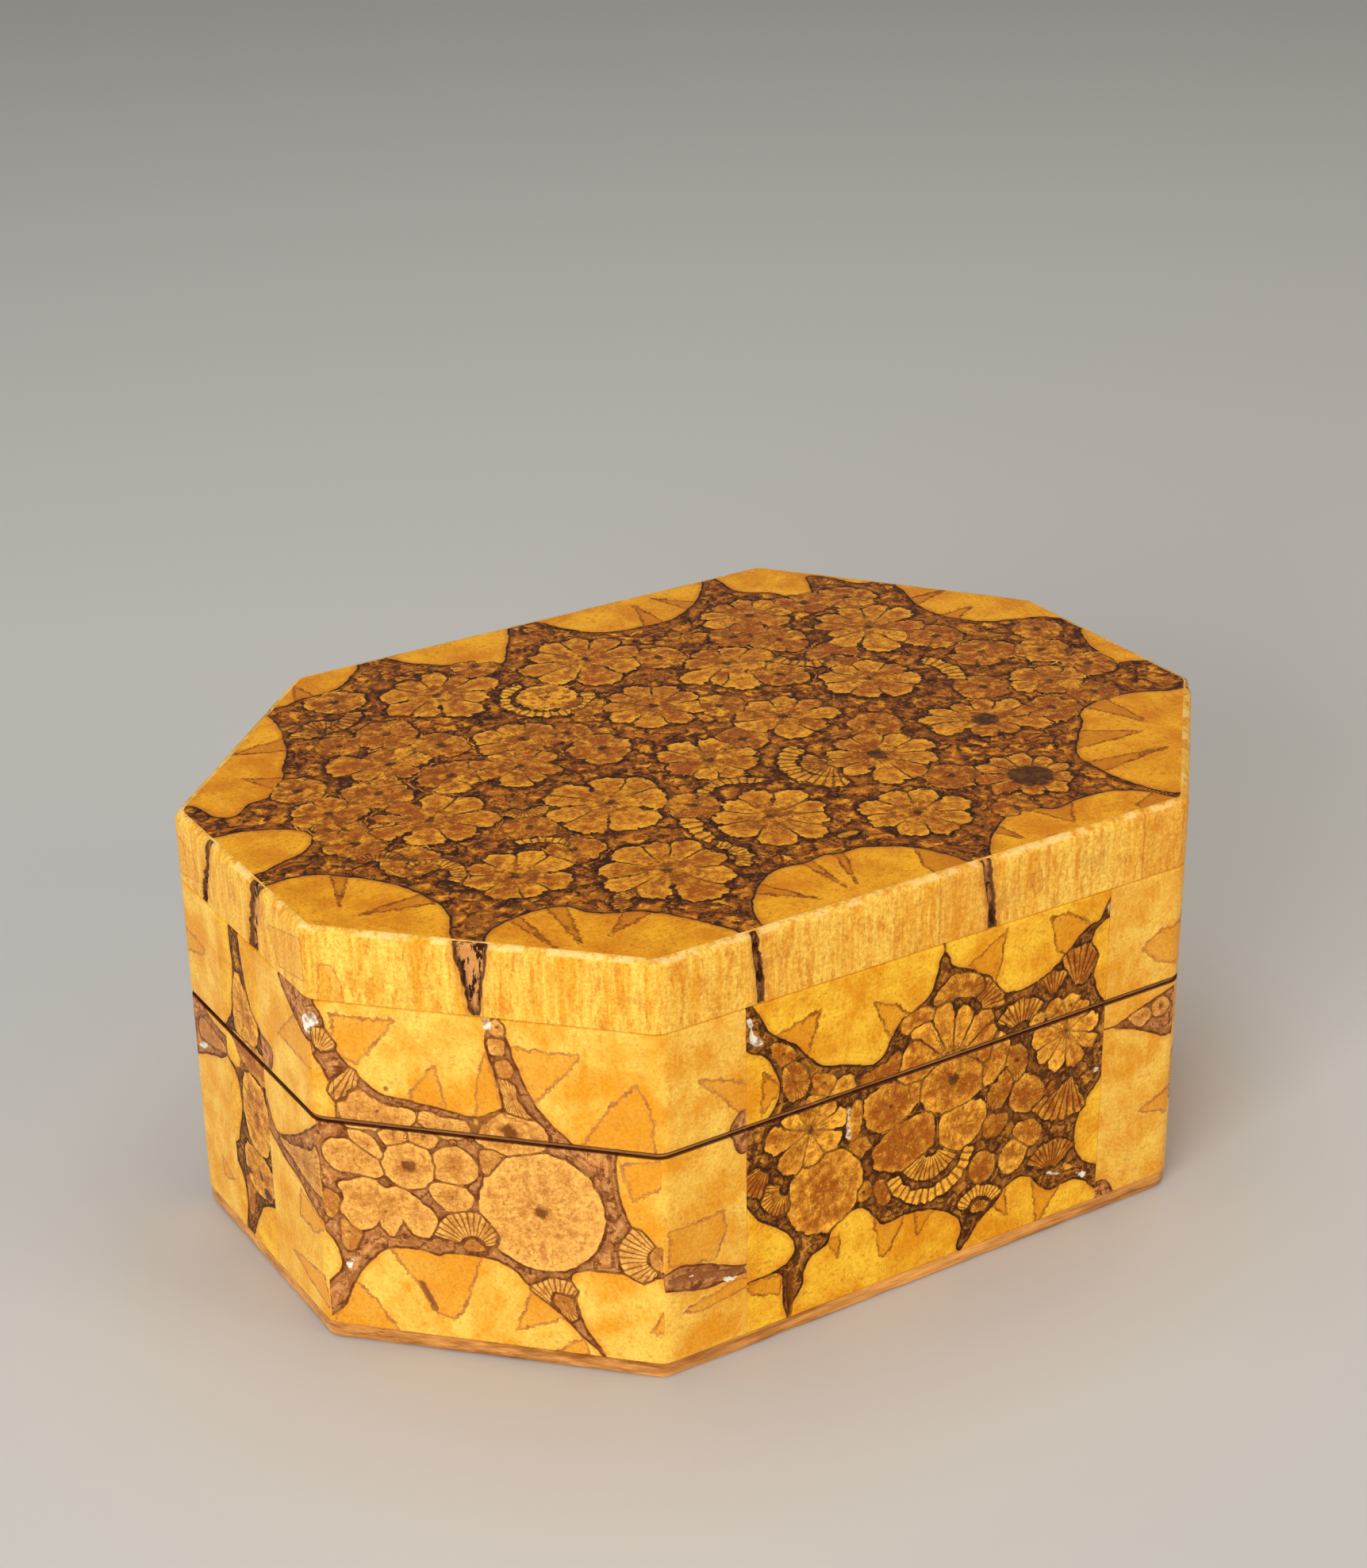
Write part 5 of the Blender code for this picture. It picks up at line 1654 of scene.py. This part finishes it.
@dataclass(frozen=True)
class BurlFinish:
    """Burl that shows its figure, in the tones of one face."""

    name: str
    tones: Tones
    islands: float = 0.5
    veins: float = 0.5
    wander: float = 0.6
    merge: float = 0.15
    lacquer: Lacquer = Lacquer()

    def make(self, group: bpy.types.ShaderNodeTree) -> bpy.types.Material:
        """Builds the material round the shared figure group.

        Args:
            group: the figure group.

        Returns:
            The finished material.
        """
        material, graph, place = new_material(self.name)
        feeds: dict[str | int, Source] = {"Place": place, "Islands": self.islands, "Veins": self.veins,
                                          "Wander": self.wander,
                                            "Merge": self.merge}
        for key in KEPT:
            feeds[key] = graph.node("Attribute", attribute_name=key).outputs["Vector"]
        for key in Tones.__dataclass_fields__:
            feeds[key] = getattr(self.tones, key)
        figure = graph.node("Group", feeds, node_tree=group)
        self.lacquer.finish(graph, figure.outputs["Colour"], figure.outputs["Roughness"],
                            figure.outputs["Height"])
        return material


@dataclass(frozen=True)
class GrainFinish:
    """Plain wood whose fibres run along one axis."""

    name: str
    dark: tuple[float, ...]
    light: tuple[float, ...]
    stretch: tuple[float, float, float]
    lacquer: Lacquer = Lacquer()

    def make(self, group: bpy.types.ShaderNodeTree) -> bpy.types.Material:
        """Builds the material round the shared grain group.

        Args:
            group: the grain group.

        Returns:
            The finished material.
        """
        material, graph, place = new_material(self.name)
        grain = graph.node("Group", {"Place": graph.vector("MULTIPLY", place, self.stretch)}, node_tree=group)
        colour = graph.mix(graph.step(grain.outputs["Tone"], 0.3, 0.8), self.dark, self.light)
        colour = graph.cover(colour, self.dark, grain.outputs["Pores"], 0.5)
        roughness = graph.plus(0.35, graph.times(grain.outputs["Tone"], 0.2))
        self.lacquer.finish(graph, colour, roughness, grain.outputs["Height"])
        return material


@dataclass(frozen=True)
class EdgeFinish:
    """The lid's edge: sapwood cut along the grain, with bark where the gaps of the top run down it."""

    name: str
    tones: Tones
    lacquer: Lacquer = Lacquer()

    def make(self, group: bpy.types.ShaderNodeTree) -> bpy.types.Material:
        """Builds the material round the shared grain group and the kept distances.

        Streaks and dashes run down the edge, wedges are darker inside a fine line, the upper edge is
        lightened in places, partly as wear and partly as a painted highlight where the rounding catches the
        light, and crevices show cracked bark.

        Args:
            group: the grain group.

        Returns:
            The finished material.
        """
        material, graph, place = new_material(self.name)
        fibres = graph.vector("MULTIPLY", place, (2.2, 2.2, 0.2))
        grain = graph.node("Group", {"Place": fibres}, node_tree=group)
        crack_gap, _, wedge_gap = graph.parts(graph.node("Attribute",
                attribute_name="flaw").outputs["Vector"])
        tones = self.tones
        colour = graph.mix(graph.step(grain.outputs["Tone"], 0.35, 0.7), tones.sapwood, tones.sapwood_pale)
        streaks = graph.patches(graph.vector("MULTIPLY", place, (0.9, 0.9, 0.3)), 1.0, 0.5, 0.66, 5, 0.66)
        colour = graph.cover(colour, tones.wedge, streaks, 0.8)
        dashes = graph.patches(graph.vector("MULTIPLY", place, (1.6, 1.6, 0.4)), 1.4, 0.6, 0.7, 3, 0.6)
        colour = graph.cover(colour, tones.petal_dark, dashes, 0.55)
        blotch = graph.patches(place, 0.22, 0.54, 0.7, 4, 0.6)
        colour = graph.cover(colour, tones.petal_dark, blotch, 0.42)
        split = graph.plus(wedge_gap, graph.signed_noise(place, 1.3, 0.7, 3))
        colour = graph.cover(colour, tones.wedge, graph.step(split, -0.1, 0.2), 0.4)
        lined = graph.step(graph.math("ABSOLUTE", split), 0.16, 0.04)
        colour = graph.cover(colour, tones.petal_dark, lined, 0.6)
        speckle = graph.patches(place, 2.6, 0.3, 0.7, 5, 0.75)
        colour = graph.vector("MULTIPLY", colour, graph.mix(speckle, GRAIN_LOW, GRAIN_HIGH))
        # Upper edge lightened to pale cream in patches: partly wear, partly a painted highlight where the
        # rounded edge catches the light
        _, _, rise = graph.parts(place)
        wear_and_highlight = graph.times(graph.step(rise, 50.95, 51.2), graph.patches(place, 0.3, 0.47, 0.56, 5, 0.7))
        colour = graph.cover(colour, linear(255, 226, 150), wear_and_highlight, 0.5)
        edge = graph.plus(crack_gap, graph.signed_noise(place, 0.9, 0.6, 3))
        colour = graph.cover(colour, tones.petal_dark, graph.step(edge, -0.9, 0.0), 0.45)
        cracked = graph.noise(graph.vector("MULTIPLY", place, (1.2, 1.2, 0.42)), 1.1, 5, 0.7)
        bark = graph.mix(graph.noise(place, 1.3, 4, 0.7), tones.petal_dark, tones.bark_light)
        bark = graph.mix(graph.step(cracked, 0.5, 0.43), bark, linear(52, 24, 10))
        bark = graph.cover(bark, linear(62, 27, 10), graph.step(edge, 0.6, 0.24), 0.85)
        colour = graph.mix(graph.step(edge, -0.06, 0.1), colour, bark)
        self.lacquer.finish(graph, colour, graph.plus(0.3, graph.times(grain.outputs["Tone"], 0.2)),
                            grain.outputs["Height"])
        return material


TOP_TONES = Tones(outline=linear(38, 8, 0), bark=linear(138, 66, 0), bark_light=linear(208, 124, 32),
                  petal_dark=linear(172, 84, 0), petal=linear(255, 178, 40), sapwood=linear(224, 136, 0),
                  sapwood_pale=linear(255, 182, 30), wedge=linear(180, 96, 0))
CORNER_TONES = Tones(outline=linear(98, 44, 12), bark=linear(178, 110, 58), bark_light=linear(226, 162, 98),
                     petal_dark=linear(186, 116, 46), petal=linear(240, 176, 86),
                     sapwood=linear(228, 152, 30),
                     sapwood_pale=linear(246, 200, 88), wedge=linear(218, 140, 38))
STRAIGHT_TONES = Tones(outline=linear(52, 18, 0), bark=linear(144, 78, 16), bark_light=linear(214, 144, 56),
                       petal_dark=linear(168, 88, 6), petal=linear(255, 182, 58), sapwood=linear(224, 144, 8),
                       sapwood_pale=linear(252, 200, 56), wedge=linear(206, 122, 12))


@dataclass(frozen=True)
class Studio:
    """A pale floor, soft lights and the camera at the photo's viewing angle."""

    turn: float = -0.554488
    rise: float = 0.441051
    roll: float = -0.013791
    distance: float = 395.094
    target: tuple[float, float, float] = (21.2063, 38.4124, 25.0)
    lens: float = 67.01

    def camera(self) -> None:
        """Stands the camera where the photo was taken from.

        Its back looks away from the target along the turn and the rise, its right side is level before the
        roll, and the roll turns right and up about the line of sight.
        """
        back = Vector((math.sin(self.turn) * math.cos(self.rise), -math.cos(self.turn) * math.cos(self.rise),
                       math.sin(self.rise)))
        right = (-back).cross(Vector((0, 0, 1))).normalized()
        up = right.cross(-back)
        across = math.cos(self.roll) * right + math.sin(self.roll) * up
        upright = math.cos(self.roll) * up - math.sin(self.roll) * right
        lens = bpy.data.cameras.new("camera")
        lens.lens, lens.sensor_width, lens.clip_start = self.lens, 36.0, 0.01
        camera = bpy.data.objects.new("camera", lens)
        place = (Vector(self.target) + back * self.distance) * MM
        camera.matrix_world = Matrix.Translation(place) @ Matrix((across, upright,
                back)).transposed().to_4x4()
        bpy.context.scene.collection.objects.link(camera)
        bpy.context.scene.camera = camera

    def floor(self) -> bpy.types.Object:
        """Lays the pale floor the box stands on.

        Returns:
            The floor's object.
        """
        mesh = bpy.data.meshes.new("floor")
        mesh.from_pydata([(-3, -3, 0), (3, -3, 0), (3, 3, 0), (-3, 3, 0)], [], [(0, 1, 2, 3)])
        piece = bpy.data.objects.new("floor", mesh)
        material = bpy.data.materials.new("floor")
        material.use_nodes = True
        shader = material.node_tree.nodes["Principled BSDF"]
        shader.inputs["Base Color"].default_value = linear(206, 204, 200)
        shader.inputs["Roughness"].default_value = 0.6
        mesh.materials.append(material)
        bpy.context.scene.collection.objects.link(piece)
        return piece

    def light(self, name: str, place: Place3, size: float, power: float, tint: Colour = (1, 1, 1),
              mirrors: bool = True) -> None:
        """Hangs a soft square light that faces the box.

        Args:
            name: the light's name.
            place: where it hangs, in metres.
            size: its side in metres.
            power: its strength in watts.
            tint: its colour.
            mirrors: whether gloss mirrors it.
        """
        lamp = bpy.data.lights.new(name, "AREA")
        lamp.size, lamp.energy, lamp.color = size, power, tint
        holder = bpy.data.objects.new(name, lamp)
        holder.location = place
        holder.visible_glossy = mirrors
        holder.rotation_euler = (Vector((0, 0, 0.03)) - Vector(place)).to_track_quat("-Z", "Y").to_euler()
        bpy.context.scene.collection.objects.link(holder)

    def build(self) -> bpy.types.Object:
        """Sets up camera, lights, world and floor.

        Returns:
            The floor's object.
        """
        self.camera()
        self.light("key", (-0.75, -0.45, 0.30), 0.5, 7.5, mirrors=False)
        self.light("side", (0.6, -0.8, 0.40), 0.5, 3.4, (1.0, 0.84, 0.62))
        self.light("above", (0.05, 0.1, 0.9), 0.7, 3.0)
        world = bpy.data.worlds.new("studio")
        world.use_nodes = True
        world.node_tree.nodes["Background"].inputs["Color"].default_value = (1.0, 0.97, 0.92, 1.0)
        world.node_tree.nodes["Background"].inputs["Strength"].default_value = 0.22
        bpy.context.scene.world = world
        bpy.context.scene.view_settings.view_transform = "Standard"
        return self.floor()


def main() -> None:
    """Builds the slab, the two rings of slices, the board and the studio, in that order."""
    logging.basicConfig(level=logging.INFO, format="%(message)s")
    figure, grain = figure_group(), grain_group()
    satin = Lacquer(coat=0.18, coat_roughness=0.2)
    top = BurlFinish("burl, top of lid", TOP_TONES, 1.0, 0.5, 1.3, 1.0,
                     Lacquer(coat=0.42, coat_roughness=0.18)).make(figure)
    corner = BurlFinish("burl, corner slices", CORNER_TONES, 0.3, 0.5, 0.6, 0.2, satin).make(figure)
    straight = BurlFinish("burl, straight slices", STRAIGHT_TONES, 0.7, 0.8, 0.8, 0.5, satin).make(figure)
    edge = EdgeFinish("burl, edge of lid", CORNER_TONES, satin).make(grain)
    bare = GrainFinish("bare wood", linear(176, 120, 66), linear(214, 164, 104), (0.5, 0.5, 0.14),
                       Lacquer(coat=0.0, bump=0.2)).make(grain)
    board = GrainFinish("board", linear(126, 66, 20), linear(244, 174, 92), (0.16, 0.34, 1.7),
                        satin).make(grain)
    pieces = [Slab(top_face(), top, edge, bare).build()]
    for part in (Part.RIM, Part.BASE):
        pieces += Ring(part, faces(), corner, straight, bare).build()
    pieces.append(Board(board).build())
    for piece in pieces:
        LOG.info("%s: %d faces", piece.name, len(piece.data.polygons))
    Studio().build()


if __name__ == "__main__":
    main()
